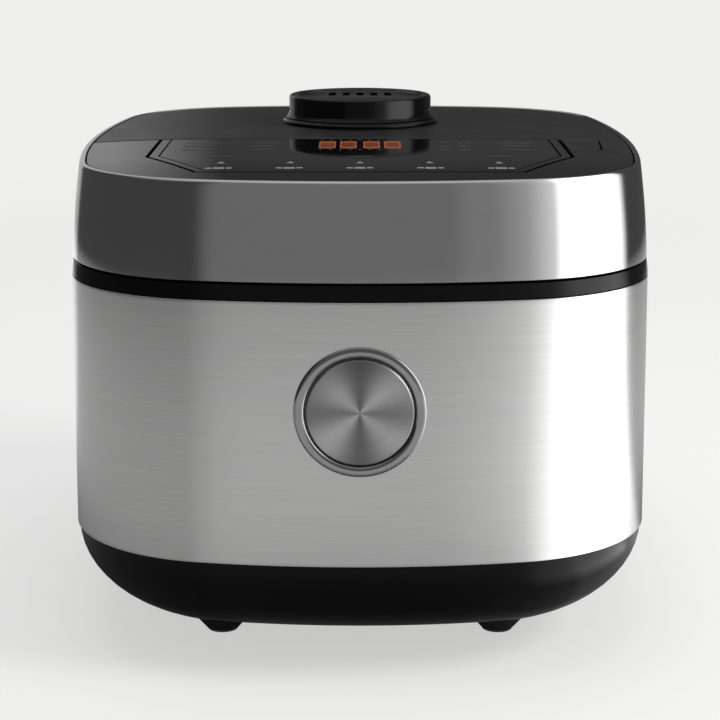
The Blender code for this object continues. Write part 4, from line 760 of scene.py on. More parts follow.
# ---------------------------------------------------------------- base, sleeve and band
def make_base():
    """The bowl under the body: a quarter ellipse in section, vented and bored for its screws."""
    steps = 16
    tall = BASE_TOP - BASE_BOTTOM
    outer = []
    inner = []
    for i in range(steps + 1):
        across = math.cos(math.pi / 2 * i / steps)
        down = math.sin(math.pi / 2 * i / steps)
        outer.append((BASE_TUCK * (1 - across), BASE_TOP - tall * down))
        inner.append((BASE_TUCK - (BASE_TUCK - BASE_WALL) * across, BASE_TOP - (tall - BASE_WALL) * down))
    outer[0] = (0.0, BASE_TOP - 0.0003)
    outer.insert(0, (0.0003, BASE_TOP))
    bowl = sweep_plan("base_bowl", list(reversed(outer)) + inner, closed=False)
    close_ring(bowl, lambda place: place.z < BASE_BOTTOM + 0.0001)
    close_ring(bowl, lambda place: abs(place.z - BASE_BOTTOM - BASE_WALL) < 0.0001)
    leave_edit(bowl)
    low = BASE_BOTTOM - 0.002
    high = BASE_BOTTOM + BASE_WALL + 0.002
    cutters = []
    for i in range(5):
        x = 0.011 * (i - 2)
        cutters.append(block("intake_cut", (x - 0.0025, -0.079, low), (x + 0.0025, -0.031, high)))
    for i in range(4):
        x = 0.014 * (i - 1.5)
        cutters.append(block("outlet_cut", (x - 0.003, 0.045, low), (x + 0.003, 0.080, high)))
    for x in (-0.048, 0.048):
        for y in (-0.078, 0.078):
            cutters.append(rod("screw_cut", 0.0020, low, high, (x, y, 0.0), steps=24))
    cut(bowl, *cutters)
    return finish_piece(bowl, GLOSS, "cooker", "gloss_black", "base_shell")


def steel_inset(height):
    return -STEEL_FLARE * (STEEL_TOP - height) / (STEEL_TOP - STEEL_BOTTOM)


def make_sleeve():
    """The steel sleeve with its edges rounded over, holed for the button, the tray and the inlet."""
    foot = steel_inset(STEEL_BOTTOM)
    levels = (STEEL_BOTTOM, STEEL_BOTTOM + 0.0016, (STEEL_BOTTOM + STEEL_TOP) / 2, STEEL_TOP - 0.0016,
              STEEL_TOP)
    section = [(steel_inset(z), z) for z in levels] + [(STEEL_WALL, STEEL_TOP),
                                                       (foot + STEEL_WALL, STEEL_BOTTOM)]
    sleeve = sweep_plan("steel_sleeve", soften(section, 0.0004))
    leave_edit(sleeve)
    hole = rod("button_cut", BUTTON_HOLE_RADIUS, -HALF_DEPTH - 0.01, -HALF_DEPTH + 0.02,
               (0.0, 0.0, BUTTON_Z), "Y", 96)
    low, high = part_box("condensate_tray")
    clear = 0.0010
    tray = block("tray_cut", (low[0] - clear, HALF_DEPTH - 0.02, low[2] - clear),
                 (high[0] + clear, HALF_DEPTH + 0.02, high[2] + clear))
    low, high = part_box("power_inlet")
    inlet = block("inlet_cut", (low[0] - GAP, HALF_DEPTH - 0.02, low[2] - GAP),
                  (high[0] + GAP, HALF_DEPTH + 0.02, high[2] + GAP))
    cut(sleeve, hole, tray, inlet)
    return finish_piece(sleeve, STEEL, "cooker", "brushed_steel", "body_wrap")


def make_band():
    """The black band over the steel, its lip, and the deck that carries the pot."""
    skirt = STEEL_WALL + 0.0004
    skirt_low = STEEL_TOP - 0.010
    deck_bottom = DECK_TOP - DECK_WALL
    lip = BAND_DRAFT + LIP_WIDTH
    section = [
        (skirt + 0.002, deck_bottom), (skirt + 0.002, skirt_low), (skirt, skirt_low), (skirt, BAND_BOTTOM),
        (0.0004, BAND_BOTTOM), (0.0, BAND_BOTTOM + 0.0004), (BAND_DRAFT, BAND_TOP - 0.0008),
        (BAND_DRAFT + 0.0002, BAND_TOP - 0.0003), (BAND_DRAFT + 0.0007, BAND_TOP), (lip - 0.0005, BAND_TOP),
        (lip, BAND_TOP - 0.0005), (lip, DECK_TOP),
    ]
    band = sweep_plan("band_and_deck", section, closed=False)
    close_ring(band, lambda place: abs(place.z - deck_bottom) < 0.00005)
    close_ring(band, lambda place: abs(place.z - DECK_TOP) < 0.00005)
    leave_edit(band)
    cut(band, rod("pot_cut", POT_HOLE_RADIUS, deck_bottom - 0.002, DECK_TOP + 0.002, (0.0, 0.0, 0.0),
                  steps=168))
    half = low_high("hinge_housing", 0)[1] + 2 * GAP
    seat = block("seat_cut", (-half, HALF_DEPTH - 0.012, DECK_TOP - 0.0004),
                 (half, HALF_DEPTH + 0.01, BAND_TOP + 0.01))
    low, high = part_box("latch_lever")
    slot = block("latch_cut", (low[0] - 0.002, low[1] - 0.009, deck_bottom - 0.001),
                 (high[0] + 0.002, high[1] + 0.006, DECK_TOP + 0.001))
    cut(band, seat, slot)
    return finish_piece(band, GLOSS, "cooker", "gloss_black", "top_collar")


# ---------------------------------------------------------------- lid
def lid_inset(height):
    share = (height - LID_BOTTOM) / (RIM_TOP - LID_BOTTOM)
    return LID_FOOT_INSET + LID_DRAFT * share ** 1.5


def make_lid_ring():
    """The polished wall of the lid, bending in to a rounded rim, notched for the hinge."""
    lip_low = RIM_TOP - 0.0016
    shares = [0.0, 0.06, 0.16, 0.28, 0.40, 0.52, 0.64, 0.75, 0.85, 0.925, 0.97]
    levels = [LID_BOTTOM + (RIM_TOP - LID_BOTTOM) * share for share in shares]
    section = [(lid_inset(LID_BOTTOM) + 0.0004, LID_BOTTOM), (lid_inset(LID_BOTTOM), LID_BOTTOM + 0.0004)]
    section += [(lid_inset(z), z) for z in levels[1:]]
    edge = lid_inset(RIM_TOP)
    section += [(edge + 0.0001, RIM_TOP - 0.0008), (edge + 0.0004, RIM_TOP - 0.0003),
                (edge + 0.0010, RIM_TOP - 0.0001), (edge + 0.0018, RIM_TOP),
                (edge + 0.0026, RIM_TOP - 0.0001),
                (LIP_INSET - 0.0001, RIM_TOP - 0.0005),
                (LIP_INSET, lip_low), (lid_inset(lip_low) + RING_WALL, lip_low)]
    section += [(lid_inset(z) + RING_WALL, z) for z in reversed(levels[:-2:3])]
    ring = sweep_plan("lid_wall", section)
    leave_edit(ring)
    half = low_high("hinge_housing", 0)[1] + 0.0015
    notch = block("notch_cut", (-half, HINGE_Y - 0.013, LID_BOTTOM - 0.005),
                  (half, HALF_DEPTH + 0.02, HINGE_Z + 0.0143))
    cut(ring, notch)
    return finish_piece(ring, RING_STEEL, "lid", "polished_steel", "lid_ring")


def crown_height(inset):
    """Height of the crowned top at an inset from the plan."""
    share = min(max((inset - COVER_INSET) / (CROWN_REACH - COVER_INSET), 0.0), 1.0)
    return RIM_TOP - GAP + CROWN * (1 - (1 - share) ** 2)


def make_cover_blank():
    """The whole crowned top of the lid, from which each piece of it is cut."""
    reach = CROWN_REACH - COVER_INSET
    shares = (0.0, 0.05, 0.12, 0.2, 0.3, 0.42, 0.55, 0.7, 0.85, 1.0)
    insets = [COVER_INSET + reach * share for share in shares]
    section = [(COVER_INSET, COVER_BOTTOM)] + [(inset, crown_height(inset)) for inset in insets]
    section.append((CROWN_REACH + 0.0015, COVER_CREST))
    blank = sweep_plan("cover_blank", section, closed=False)
    close_ring(blank, lambda place: place.z < COVER_BOTTOM + 0.0001)
    close_ring(blank, lambda place: place.z > COVER_CREST - 0.000001)
    return leave_edit(blank)


def copy_of(obj, name):
    """A copy with its own mesh."""
    twin = obj.copy()
    twin.data = obj.data.copy()
    twin.name = name
    twin.data.name = name
    bpy.context.scene.collection.objects.link(twin)
    return twin


def cover_prism(outline):
    return prism("outline_solid", outline, COVER_BOTTOM - 0.003, COVER_CREST + 0.003)


def panel_outline(inset, rear_y):
    """The control panel's outline, its front bowed and its corners eased."""
    shoulder_y, front_half, front_y, bow = -0.0965, 0.078, -0.1500, 0.0020
    taper = PANEL_HALF_WIDTH - front_half
    lean = taper / math.hypot(taper, shoulder_y - front_y)
    x = PANEL_HALF_WIDTH - inset
    y = shoulder_y + inset * lean / (1 + math.sqrt(1 - lean ** 2))
    front_x = front_half - inset * 0.55
    steps = 24
    front = []
    for i in range(steps + 1):
        share = 2 * i / steps - 1
        front.append((front_x * share, front_y + inset - bow * (1 - share ** 2)))
    corners = [(-x, rear_y), (-x, y)] + front + [(x, y), (x, rear_y)]
    return corners


def key_front():
    return HALF_WIDTH - 0.0247, SEAM_FRONT - 0.0370


def key_outline(offset):
    """The steam release key: seam, divider, arched front and the lid's edge."""
    divider, arch_top = key_front()
    divider += offset
    arch_top += offset
    outside = HALF_WIDTH + 0.01
    return [(divider + 0.0015, SEAM_FRONT - 0.0004 - offset), (divider - 0.0010, arch_top),
            (HALF_WIDTH - 0.0205, arch_top - 0.0060), (HALF_WIDTH - 0.0150, arch_top - 0.0200),
            (outside, arch_top - 0.0320), (outside, SEAM_FRONT - 0.0004 - offset)]


def trim_outline(offset):
    """The fixed filler between the panel and the key."""
    divider, arch_top = key_front()
    divider -= GAP + offset
    arch_top += offset
    seam = SEAM_FRONT - 0.0004 - offset
    left = PANEL_HALF_WIDTH + GAP + offset
    return [(left, seam), (left, arch_top - 0.0145), (HALF_WIDTH - 0.0335, arch_top - 0.0060),
            (divider - 0.0012, arch_top), (divider + 0.0013, seam)]


def release_opening():
    """Opening in the front cover for the key and the filler, wider along the arch for a finger."""
    divider, arch_top = key_front()
    seam = SEAM_FRONT + 0.0046
    outside = HALF_WIDTH + 0.01
    left = PANEL_HALF_WIDTH
    return [(left, seam), (left, arch_top - 0.0160), (HALF_WIDTH - 0.0335, arch_top - 0.0088),
            (divider - 0.0010, arch_top - 0.0030), (HALF_WIDTH - 0.0200, arch_top - 0.0088),
            (HALF_WIDTH - 0.0150, arch_top - 0.0206), (outside, arch_top - 0.0330), (outside, seam)]


def make_covers():
    """Rear cover, front cover, panel surround, window, release key and the filler beside it."""
    wide = HALF_WIDTH + 0.02
    deep = HALF_DEPTH + 0.02
    rear_edge = SEAM_FRONT + 0.0004
    front_edge = SEAM_FRONT - 0.0026
    blank = make_cover_blank()

    rear = copy_of(blank, "cover_rear")
    cut(rear, cover_prism([(-wide, -deep), (wide, -deep), (wide, rear_edge), (-wide, rear_edge)]))
    cut(rear, rod("steam_cut", SPIGOT_RADIUS + 0.0004, COVER_BOTTOM - 0.01, COVER_CREST + 0.01,
                  (0.0, STEAM_Y, 0.0), steps=96))

    front = copy_of(blank, "cover_front")
    cut(front, cover_prism([(-wide, front_edge), (wide, front_edge), (wide, deep), (-wide, deep)]))
    cut(front, cover_prism(panel_outline(-GAP, SEAM_FRONT + 0.01)))
    cut(front, cover_prism(release_opening()))

    surround = copy_of(blank, "panel_surround")
    cut(surround, cover_prism(panel_outline(PANEL_GROOVE, front_edge)), operation="INTERSECT")
    cut(surround, cover_prism(panel_outline(PANEL_BAR, front_edge + 0.01)))

    window = copy_of(blank, "panel_glass")
    cut(window, cover_prism(panel_outline(PANEL_BAR + 0.0009, front_edge)), operation="INTERSECT")

    key = copy_of(blank, "release_key")
    cut(key, cover_prism(key_outline(GAP)), operation="INTERSECT")

    filler = blank
    filler.name = "key_filler"
    cut(filler, cover_prism(trim_outline(GAP)), operation="INTERSECT")

    for piece in (rear, front, surround, window, key, filler):
        round_edges(piece, 0.00025)
    finish_piece(rear, SATIN, "lid", "satin_black", "rear_cover")
    finish_piece(front, GLOSS, "lid", "gloss_black", "front_cover")
    finish_piece(surround, PIANO, "lid", "gloss_black", "panel_bezel")
    finish_piece(window, GLASS, "lid", "window_black", "panel_window")
    finish_piece(key, SATIN, "exhaust_key", "satin_black", "exhaust_key")
    finish_piece(filler, SATIN, "lid", "satin_black", "key_trim")
    return window


# ---------------------------------------------------------------- steam vent
def make_steam_vent():
    """Collar in the rear cover and the flared, dished cap that lifts out of it."""
    centre = (0.0, STEAM_Y, 0.0)
    inner = SPIGOT_RADIUS - 0.0020
    section = [
        (inner, COVER_BOTTOM - 0.002), (SPIGOT_RADIUS, COVER_BOTTOM - 0.002), (SPIGOT_RADIUS, COLLAR_BOTTOM),
        (COLLAR_RADIUS, COLLAR_BOTTOM), (COLLAR_RADIUS, COLLAR_BOTTOM + 0.0013),
        (COLLAR_RADIUS - 0.0012, COLLAR_TOP), (inner, COLLAR_TOP),
    ]
    collar = spin_section("vent_collar", soften(section, 0.0004), centre, steps=144)
    leave_edit(collar)
    finish_piece(collar, PIANO, "lid", "gloss_black", "steam_collar")

    rim = CAP_TOP - 0.0005
    dish = CAP_TOP - 0.0022
    wall = 0.0024
    flange = CAP_RADIUS + CAP_FLARE
    outside = [
        (flange - 0.0035, CAP_BOTTOM), (flange - 0.0002, CAP_BOTTOM), (flange, CAP_BOTTOM + 0.0003),
        (flange - 0.0002, CAP_BOTTOM + 0.0006), (flange - 0.0007, CAP_BOTTOM + 0.0012),
        (flange - 0.0012, CAP_BOTTOM + 0.0021), (flange - 0.0016, CAP_BOTTOM + 0.0033),
        (CAP_RADIUS, CAP_BOTTOM + 0.0048), (CAP_RADIUS, rim - 0.0016), (CAP_RADIUS - 0.0002, rim - 0.0009),
        (CAP_RADIUS - 0.0007, rim - 0.0003), (CAP_RADIUS - 0.0014, rim), (CAP_RADIUS - 0.0036, rim),
        (CAP_RADIUS - 0.0042, rim - 0.0002), (CAP_RADIUS - 0.0054, dish + 0.0003),
        (CAP_RADIUS - 0.0064, dish), (0.0, dish),
    ]
    inside = [(0.0, dish - wall), (CAP_RADIUS - wall, dish - wall), (CAP_RADIUS - wall, CAP_BOTTOM + 0.004)]
    cap = spin_section("vent_cap", inside + outside, centre, steps=144, closed=False)
    leave_edit(cap)
    cutters = []
    for i in range(5):
        x = 0.008 * (i - 2)
        cutters.append(block("vent_cut", (x - 0.002, STEAM_Y + 0.008, CAP_TOP - 0.02),
                             (x + 0.002, STEAM_Y + 0.026, CAP_TOP + 0.01)))
    cut(cap, *cutters)
    finish_piece(cap, PIANO, "steam_vent", "gloss_black", "steam_cap")


# ---------------------------------------------------------------- button
def make_button():
    """Rounded bezel seated on the sleeve, and the spun disc inside it."""
    face = BUTTON_FRONT + 0.0026
    bore = BUTTON_RADIUS + BUTTON_GAP
    edge = bore + BEZEL_WIDTH
    centre = (0.0, 0.0, BUTTON_Z)
    half = (edge - bore) / 2
    seat = face - 0.0010
    steps = 14
    section = [(edge, face + 0.004)]
    for i in range(steps + 1):
        angle = math.pi * i / steps
        section.append((bore + half * (1 + math.cos(angle)), seat - BEZEL_RISE * math.sin(angle)))
    section.append((bore, face + 0.004))
    cone = spin_section("button_surround", section, centre, "Y", 144)
    leave_edit(cone)
    skin = FRONT_RADIUS - steel_inset(BUTTON_Z) + 0.0006
    back = rod("skin_cut", skin, BUTTON_Z - 0.05, BUTTON_Z + 0.05, (0.0, HALF_DEPTH_CENTRE, 0.0), steps=720)
    cut(cone, back)
    tube_wall, tube_front, tube_back = 0.0016, face - 0.0009, face + 0.0104
    tube = spin_section("bezel_tube", [(bore, tube_front), (bore + tube_wall, tube_front),
                                       (bore + tube_wall, tube_back), (bore, tube_back)], centre, "Y", 144)
    leave_edit(tube)
    cut(cone, tube, operation="UNION")
    finish_piece(cone, CHROME, "cooker", "polished_steel", "button_bezel")
    cone.visible_glossy = False

    front = BUTTON_FRONT
    stem_end = low_high("lid_button", 1)[1]
    section = [
        (0.0, front + 0.0002), (BUTTON_RADIUS * 0.5, front + 0.00015), (BUTTON_RADIUS - 0.0008, front),
        (BUTTON_RADIUS - 0.0005, front + 0.0001), (BUTTON_RADIUS - 0.0001, front + 0.0006),
        (BUTTON_RADIUS, front + 0.0010),
        (BUTTON_RADIUS, front + 0.0035), (0.0049, front + 0.0035), (0.0049, stem_end - 0.0004),
        (0.0045, stem_end), (0.0, stem_end),
    ]
    disc = spin_section("button_disc", section, centre, "Y", 144, closed=False)
    leave_edit(disc, 25.0)
    finish_piece(disc, SPUN, "button", "brushed_steel", "lid_button")
    disc.visible_glossy = False


# ---------------------------------------------------------------- feet, hinge block and tray
def make_feet():
    """Four tapering rubber feet, turned once and copied."""
    low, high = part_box("foot_front_right")
    top = (high[0] - low[0]) / 2
    tip = top - 0.0070
    tall = high[2]
    section = [(0.0, 0.0), (tip - 0.0012, 0.0), (tip - 0.0003, 0.0002), (tip, 0.0008),
               (tip + 0.0016, 0.0026), (top - 0.0010, tall - 0.0010), (top - 0.0002, tall - 0.0004),
               (top - 0.0004, tall), (0.0, tall)]
    master = spin_section("foot", section, steps=64, closed=False)
    leave_edit(master, 30.0)
    for where in ("front_left", "front_right", "rear_left", "rear_right"):
        low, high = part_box(f"foot_{where}")
        foot = copy_of(master, f"rubber_foot_{where}")
        foot.location = ((low[0] + high[0]) / 2, (low[1] + high[1]) / 2, 0.0)
        bpy.ops.object.select_all(action="DESELECT")
        foot.select_set(True)
        bpy.context.view_layer.objects.active = foot
        bpy.ops.object.transform_apply(location=True, rotation=False, scale=False)
        finish_piece(foot, RUBBER, "cooker", "rubber", f"foot_{where}")
    bpy.data.objects.remove(master, do_unlink=True)


def make_hinge_block():
    """Round-topped block with slots for the lid's arms and a pocket for the spring."""
    low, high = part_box("hinge_housing")
    radius = (high[1] - low[1]) / 2
    outline = [(low[1], low[2]), (high[1], low[2])]
    for i in range(25):
        angle = math.pi * i / 24
        outline.append((HINGE_Y + radius * math.cos(angle), HINGE_Z + radius * math.sin(angle)))
    housing = prism("hinge_block", outline, low[0], high[0], axis="X")
    arm_x, slot_half = 0.032, 0.0043
    cutters = [block("slot_cut", (side * arm_x - slot_half, low[1] - 0.01, HINGE_Z - 0.0085),
                     (side * arm_x + slot_half, high[1] + 0.01, HINGE_Z + 0.02)) for side in (-1, 1)]
    cutters.append(block("pocket_cut", (-0.009, low[1] - 0.01, HINGE_Z - 0.0075),
                         (0.009, HINGE_Y + 0.0065, HINGE_Z + 0.0075)))
    cut(housing, *cutters)
    cut(housing, rod("bore_cut", 0.0028, -0.06, 0.06, (0.0, HINGE_Y, HINGE_Z), "X", 32))
    round_edges(housing, 0.0003)
    finish_piece(housing, SATIN, "cooker", "satin_black", "hinge_housing")


def make_tray():
    """The condensate drawer: bowed face with a finger grip, open at its top."""
    low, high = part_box("condensate_tray")
    half, reach = high[0], high[1]
    steps = 24
    outline = [(-half, low[1]), (half, low[1])]
    for i in range(steps + 1):
        x = half * (1 - 2 * i / steps)
        outline.append((x, reach - FRONT_RADIUS + math.sqrt(FRONT_RADIUS ** 2 - x ** 2)))
    tray = prism("water_tray", outline, low[2], high[2])
    wall = 0.002
    middle = (low[2] + high[2]) / 2
    hollow = block("hollow_cut", (-half + wall, low[1] + wall, low[2] + wall),
                   (half - wall, reach - 0.0103, high[2] + 0.01))
    grip = block("grip_cut", (-0.020, reach - 0.0036, middle - 0.007), (0.020, reach + 0.01, middle + 0.007))
    cut(tray, hollow, grip)
    round_edges(tray, 0.0004)
    finish_piece(tray, PLASTIC, "condensate_tray", "grey_plastic", "condensate_tray")


# ---------------------------------------------------------------- inside: pot, inner lid and seal
def bowl_side(radius, floor, corner, rim):
    """A flat floor, a round corner and a straight wall, from the axis to the rim."""
    steps = 16
    points = [(0.0, floor)]
    for i in range(steps + 1):
        angle = math.pi / 2 * i / steps
        points.append((radius - corner + corner * math.sin(angle), floor + corner * (1 - math.cos(angle))))
    return points + [(radius, rim)]


def make_pot():
    """The coated pot with its rolled rim, and the level marks stamped on its wall."""
    low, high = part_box("inner_pot")
    flange = high[0]
    top = high[2]
    wall, corner, flange_width = 0.0020, 0.040, 0.0065
    radius = flange - flange_width
    outer = bowl_side(radius, low[2], corner, top - wall)
    inner = bowl_side(radius - wall, low[2] + wall, corner - wall, top - 0.001)
    rim = [(flange - 0.0004, top - wall), (flange, top - wall + 0.0005), (flange, top - 0.0007),
           (flange - 0.0003, top - 0.0002), (flange - 0.0009, top), (radius - wall + 0.0010, top),
           (radius - wall + 0.0003, top - 0.0003)]
    pot = spin_section("coated_pot", outer + rim + list(reversed(inner)), steps=144, closed=False)
    leave_edit(pot)
    finish_piece(pot, COATING, "cooker", "pot_coating", "inner_pot")
    marks = []
    skin = radius - wall
    for i in range(10):
        z = low[2] + 0.046 + 0.0075 * i
        half_turn = (0.11 if i % 5 == 4 else 0.06) / 2
        arcs = [(skin - 0.00035, z - 0.0004), (skin + 0.0002, z - 0.0004), (skin + 0.0002, z + 0.0004),
                (skin - 0.00035, z + 0.0004)]
        start = math.pi / 2 - half_turn
        places = [(r * math.cos(start), r * math.sin(start), level) for r, level in arcs]
        mark = new_piece("level_mark", places[0])
        draw_line(places, closed=True)
        bpy.ops.mesh.select_all(action="SELECT")
        bpy.ops.mesh.edge_face_add()
        bpy.ops.mesh.spin(steps=6, angle=-2 * half_turn, center=(0.0, 0.0, 0.0), axis=(0.0, 0.0, 1.0))
        tidy_doubles()
        marks.append(leave_edit(mark))
    levels = joined(marks)
    levels.name = "pot_level_marks"
    finish_piece(levels, PRINT, "cooker", "pot_coating")


def make_inner_lid():
    """Pressed plate with a stepped, ribbed face and steam holes, and the seal round it."""
    low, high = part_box("inner_lid")
    rim = high[0]
    face = low[2]
    back = high[2]
    thick = 0.0015
    rib = face + 0.0004
    under = [(0.0, rib), (0.020, rib), (0.0215, face), (0.040, face), (0.0415, rib),
             (0.060, rib), (0.0615, face), (0.080, face), (0.0815, rib),
             (rim - 0.0125, face + 0.0003), (rim - 0.0105, face + 0.0008), (rim - 0.0004, face + 0.0008),
             (rim, face + 0.0012)]
    over = [(rim, back - 0.0003), (rim - 0.0004, back), (rim - 0.0105, back), (rim - 0.0125, face + thick),
            (0.0, face + thick)]
    plate = spin_section("pressed_plate", under + over, steps=144, closed=False)
    leave_edit(plate, 30.0)
    holes = [rod("steam_hole_cut", 0.004, face - 0.005, back + 0.005, (x, STEAM_Y, 0.0), steps=32)
             for x in (-0.014, 0.0, 0.014)]
    cut(plate, *holes)
    finish_piece(plate, ALUMINIUM, "lid", "aluminium", "inner_lid")

    low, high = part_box("lid_gasket")
    inner = rim + GAP
    outer = high[0]
    section = [(inner, low[2] + 0.0022), (inner + 0.0040, low[2]), (outer - 0.0015, low[2]),
               (outer, low[2] + 0.0015), (outer, high[2]), (inner, high[2])]
    seal = spin_section("lid_seal", soften(section, 0.0005), steps=144)
    leave_edit(seal)
    finish_piece(seal, SILICONE, "lid", "silicone", "lid_gasket")


# ---------------------------------------------------------------- display and marks
def flat_mark(outline):
    """A flat patch above the window, ready to be laid on it."""
    places = [(x, y, COVER_CREST + 0.002) for x, y in outline]
    obj = new_piece("mark", places[0])
    draw_line(places, closed=True)
    bpy.ops.mesh.select_all(action="SELECT")
    bpy.ops.mesh.edge_face_add()
    bpy.ops.object.mode_set(mode="OBJECT")
    return obj


def bar_mark(x, y, width, depth):
    return flat_mark([(x - width / 2, y - depth / 2), (x + width / 2, y - depth / 2),
                      (x + width / 2, y + depth / 2), (x - width / 2, y + depth / 2)])


def lay_on_window(name, marks, window, material):
    """Drop marks on the window and give them a hair's thickness."""
    piece = joined(marks)
    piece.name = name
    piece.data.name = name
    apply_modifier(piece, "SHRINKWRAP", target=window, wrap_method="PROJECT", use_project_z=True,
                   use_negative_direction=True, use_positive_direction=False, offset=0.00006)
    apply_modifier(piece, "SOLIDIFY", thickness=0.00005, offset=1.0)
    bpy.ops.object.mode_set(mode="EDIT")
    leave_edit(piece)
    return finish_piece(piece, material, "lid", "window_black")


def digit_segments(x, y, width, depth, stroke, stroke_deep):
    """The six outer segments of a lit zero."""
    half = depth / 2
    marks = [bar_mark(x, y + half - stroke_deep / 2, width - 2.2 * stroke, stroke_deep),
             bar_mark(x, y - half + stroke_deep / 2, width - 2.2 * stroke, stroke_deep)]
    for side in (-1, 1):
        for end in (-1, 1):
            marks.append(bar_mark(x + side * (width - stroke) / 2, y + end * half / 2, stroke,
                                  half - 0.4 * stroke_deep))
    return marks


def make_display(window):
    """Four lit zeros, tick marks, clusters of short lines and the touch keys' marks."""
    y = -0.0500
    depth = 0.0300
    digits = []
    inner, outer = 0.0060, 0.0168          # the two pairs stand evenly about the middle
    centres = (-outer, -inner, inner, outer)
    for x in centres:
        digits += digit_segments(x, y, 0.0086, depth, 0.0012, 0.0050)
    lay_on_window("lit_digits", digits, window, lit_digit("lit_amber", (0.85, 0.20, 0.04), 0.34))
    fills = [bar_mark(x, y, 0.0056, depth - 0.012) for x in centres]
    lay_on_window("digit_glow", fills, window, lit_digit("dim_amber", (0.85, 0.14, 0.02), 0.13))

    ticks = []
    for i in range(9):
        x = -0.0200 + 0.0050 * i
        ticks.append(bar_mark(x, -0.0285, 0.0012, 0.0028))
        ticks.append(bar_mark(x, -0.0705, 0.0012, 0.0028))
    for x, wide in ((-0.081, 0.018), (-0.049, 0.014), (0.044, 0.006), (0.054, 0.006), (0.081, 0.018)):
        for row, trim in enumerate((0.0, 0.0022, 0.0008)):
            ticks.append(bar_mark(x - trim / 2, -0.0420 - 0.0145 * row, wide - trim, 0.0034))
    for x, wide in ((-0.0690, 0.0100), (0.0, 0.0120), (0.0690, 0.0100)):
        ticks.append(bar_mark(x, -0.1000, wide, 0.0030))
    lay_on_window("panel_print", ticks, window, DIM_PRINT)
    labels = []
    key_pitch, bar_pitch = 0.0335, 0.0048
    arrow_tip, arrow_foot, arrow_half, bar_row = -0.1185, -0.1245, 0.0020, -0.1395
    for i in range(5):
        x = key_pitch * (i - 2)
        labels.append(flat_mark([(x - arrow_half, arrow_foot), (x + arrow_half, arrow_foot), (x, arrow_tip)]))
        for k, wide in enumerate((0.0032, 0.0052, 0.0028)):
            labels.append(bar_mark(x + bar_pitch * (k - 1), bar_row, wide, 0.0034 + 0.0014 * (k % 2)))
    lay_on_window("key_labels", labels, window, PRINT)


# ---------------------------------------------------------------- build
make_base()
make_sleeve()
make_band()
make_lid_ring()
WINDOW = make_covers()
make_steam_vent()
make_button()
make_feet()
make_hinge_block()
make_tray()
make_pot()
make_inner_lid()
make_display(WINDOW)
repaint_cad_nodes()


# ---------------------------------------------------------------- studio
def glow_node(tree, colour, strength):
    node = tree.nodes.new("ShaderNodeEmission")
    node.inputs["Color"].default_value = (*colour, 1.0)
    node.inputs["Strength"].default_value = strength
    return node


def direct_ray(tree):
    """One for rays seen directly, in a mirror or through glass; nought for the light that lands."""
    path = tree.nodes.new("ShaderNodeLightPath")
    seen = math_node(tree, "MAXIMUM", path.outputs["Is Camera Ray"], path.outputs["Is Glossy Ray"])
    return math_node(tree, "MAXIMUM", seen, path.outputs["Is Transmission Ray"])


def make_world():
    world = bpy.data.worlds.new("studio_world")
    bpy.context.scene.world = world
    world.use_nodes = True
    tree = world.node_tree
    tree.nodes.clear()
    seen = tree.nodes.new("ShaderNodeBackground")
    seen.inputs["Color"].default_value = (0.82, 0.82, 0.806, 1.0)
    lit = tree.nodes.new("ShaderNodeBackground")
    lit.inputs["Color"].default_value = (0.95, 0.97, 1.0, 1.0)
    lit.inputs["Strength"].default_value = 0.50
    mix = tree.nodes.new("ShaderNodeMixShader")
    out = tree.nodes.new("ShaderNodeOutputWorld")
    tree.links.new(direct_ray(tree), mix.inputs[0])
    tree.links.new(lit.outputs[0], mix.inputs[1])
    tree.links.new(seen.outputs[0], mix.inputs[2])
    tree.links.new(mix.outputs[0], out.inputs[0])


def make_floor():
    """A pale disc: lit and shadowed near the cooker, even and self-lit far away."""
    bpy.ops.mesh.primitive_circle_add(vertices=96, radius=9.0, fill_type="NGON", location=(0.0, 0.0, 0.0))
    floor = bpy.context.object
    floor.name = "studio_floor"
    material = bpy.data.materials.new("pale_floor")
    material.use_nodes = True
    tree = material.node_tree
    tree.nodes.clear()
    matt = tree.nodes.new("ShaderNodeBsdfDiffuse")
    matt.inputs["Color"].default_value = (0.86, 0.863, 0.862, 1.0)
    glow = glow_node(tree, (0.862, 0.862, 0.848), 1.0)
    place = tree.nodes.new("ShaderNodeTexCoord")
    length = tree.nodes.new("ShaderNodeVectorMath")
    length.operation = "LENGTH"
    tree.links.new(place.outputs["Object"], length.inputs[0])
    far = range_node(tree, length.outputs["Value"], 0.45, 1.7, 0.65, 1.0)
    share = math_node(tree, "MULTIPLY", far, direct_ray(tree))
    mix = tree.nodes.new("ShaderNodeMixShader")
    out = tree.nodes.new("ShaderNodeOutputMaterial")
    tree.links.new(share, mix.inputs[0])
    tree.links.new(matt.outputs[0], mix.inputs[1])
    tree.links.new(glow.outputs[0], mix.inputs[2])
    tree.links.new(mix.outputs[0], out.inputs["Surface"])
    floor.data.materials.append(material)
    floor.visible_glossy = False


TENT_LEVEL = 0.08
# Bearing, half width and soft edge of a painted pool of light on the tent's floor, on the cooker's lit side.
LIT_FLOOR = (52, 20, 12)
TENT_PANELS = {      # middle and half width in degrees round from the front, soft edge, brightness
    "right softbox": (72, 16, 14, 3.0),
    "right apron": (60, 15, 30, 1.2),
    "front fill": (-3, 20, 4, 0.17),
    "rear left card": (-150, 12, 8, 0.45),
}


def panel_mask(tree, bearing, middle, half_width, soft_edge):
    """One across a stretch of the surround, fading to nought over its soft edges."""
    off = math_node(tree, "ABSOLUTE", math_node(tree, "SUBTRACT", bearing, middle), 0.0)
    return range_node(tree, off, half_width, half_width + soft_edge, 1.0, 0.0)


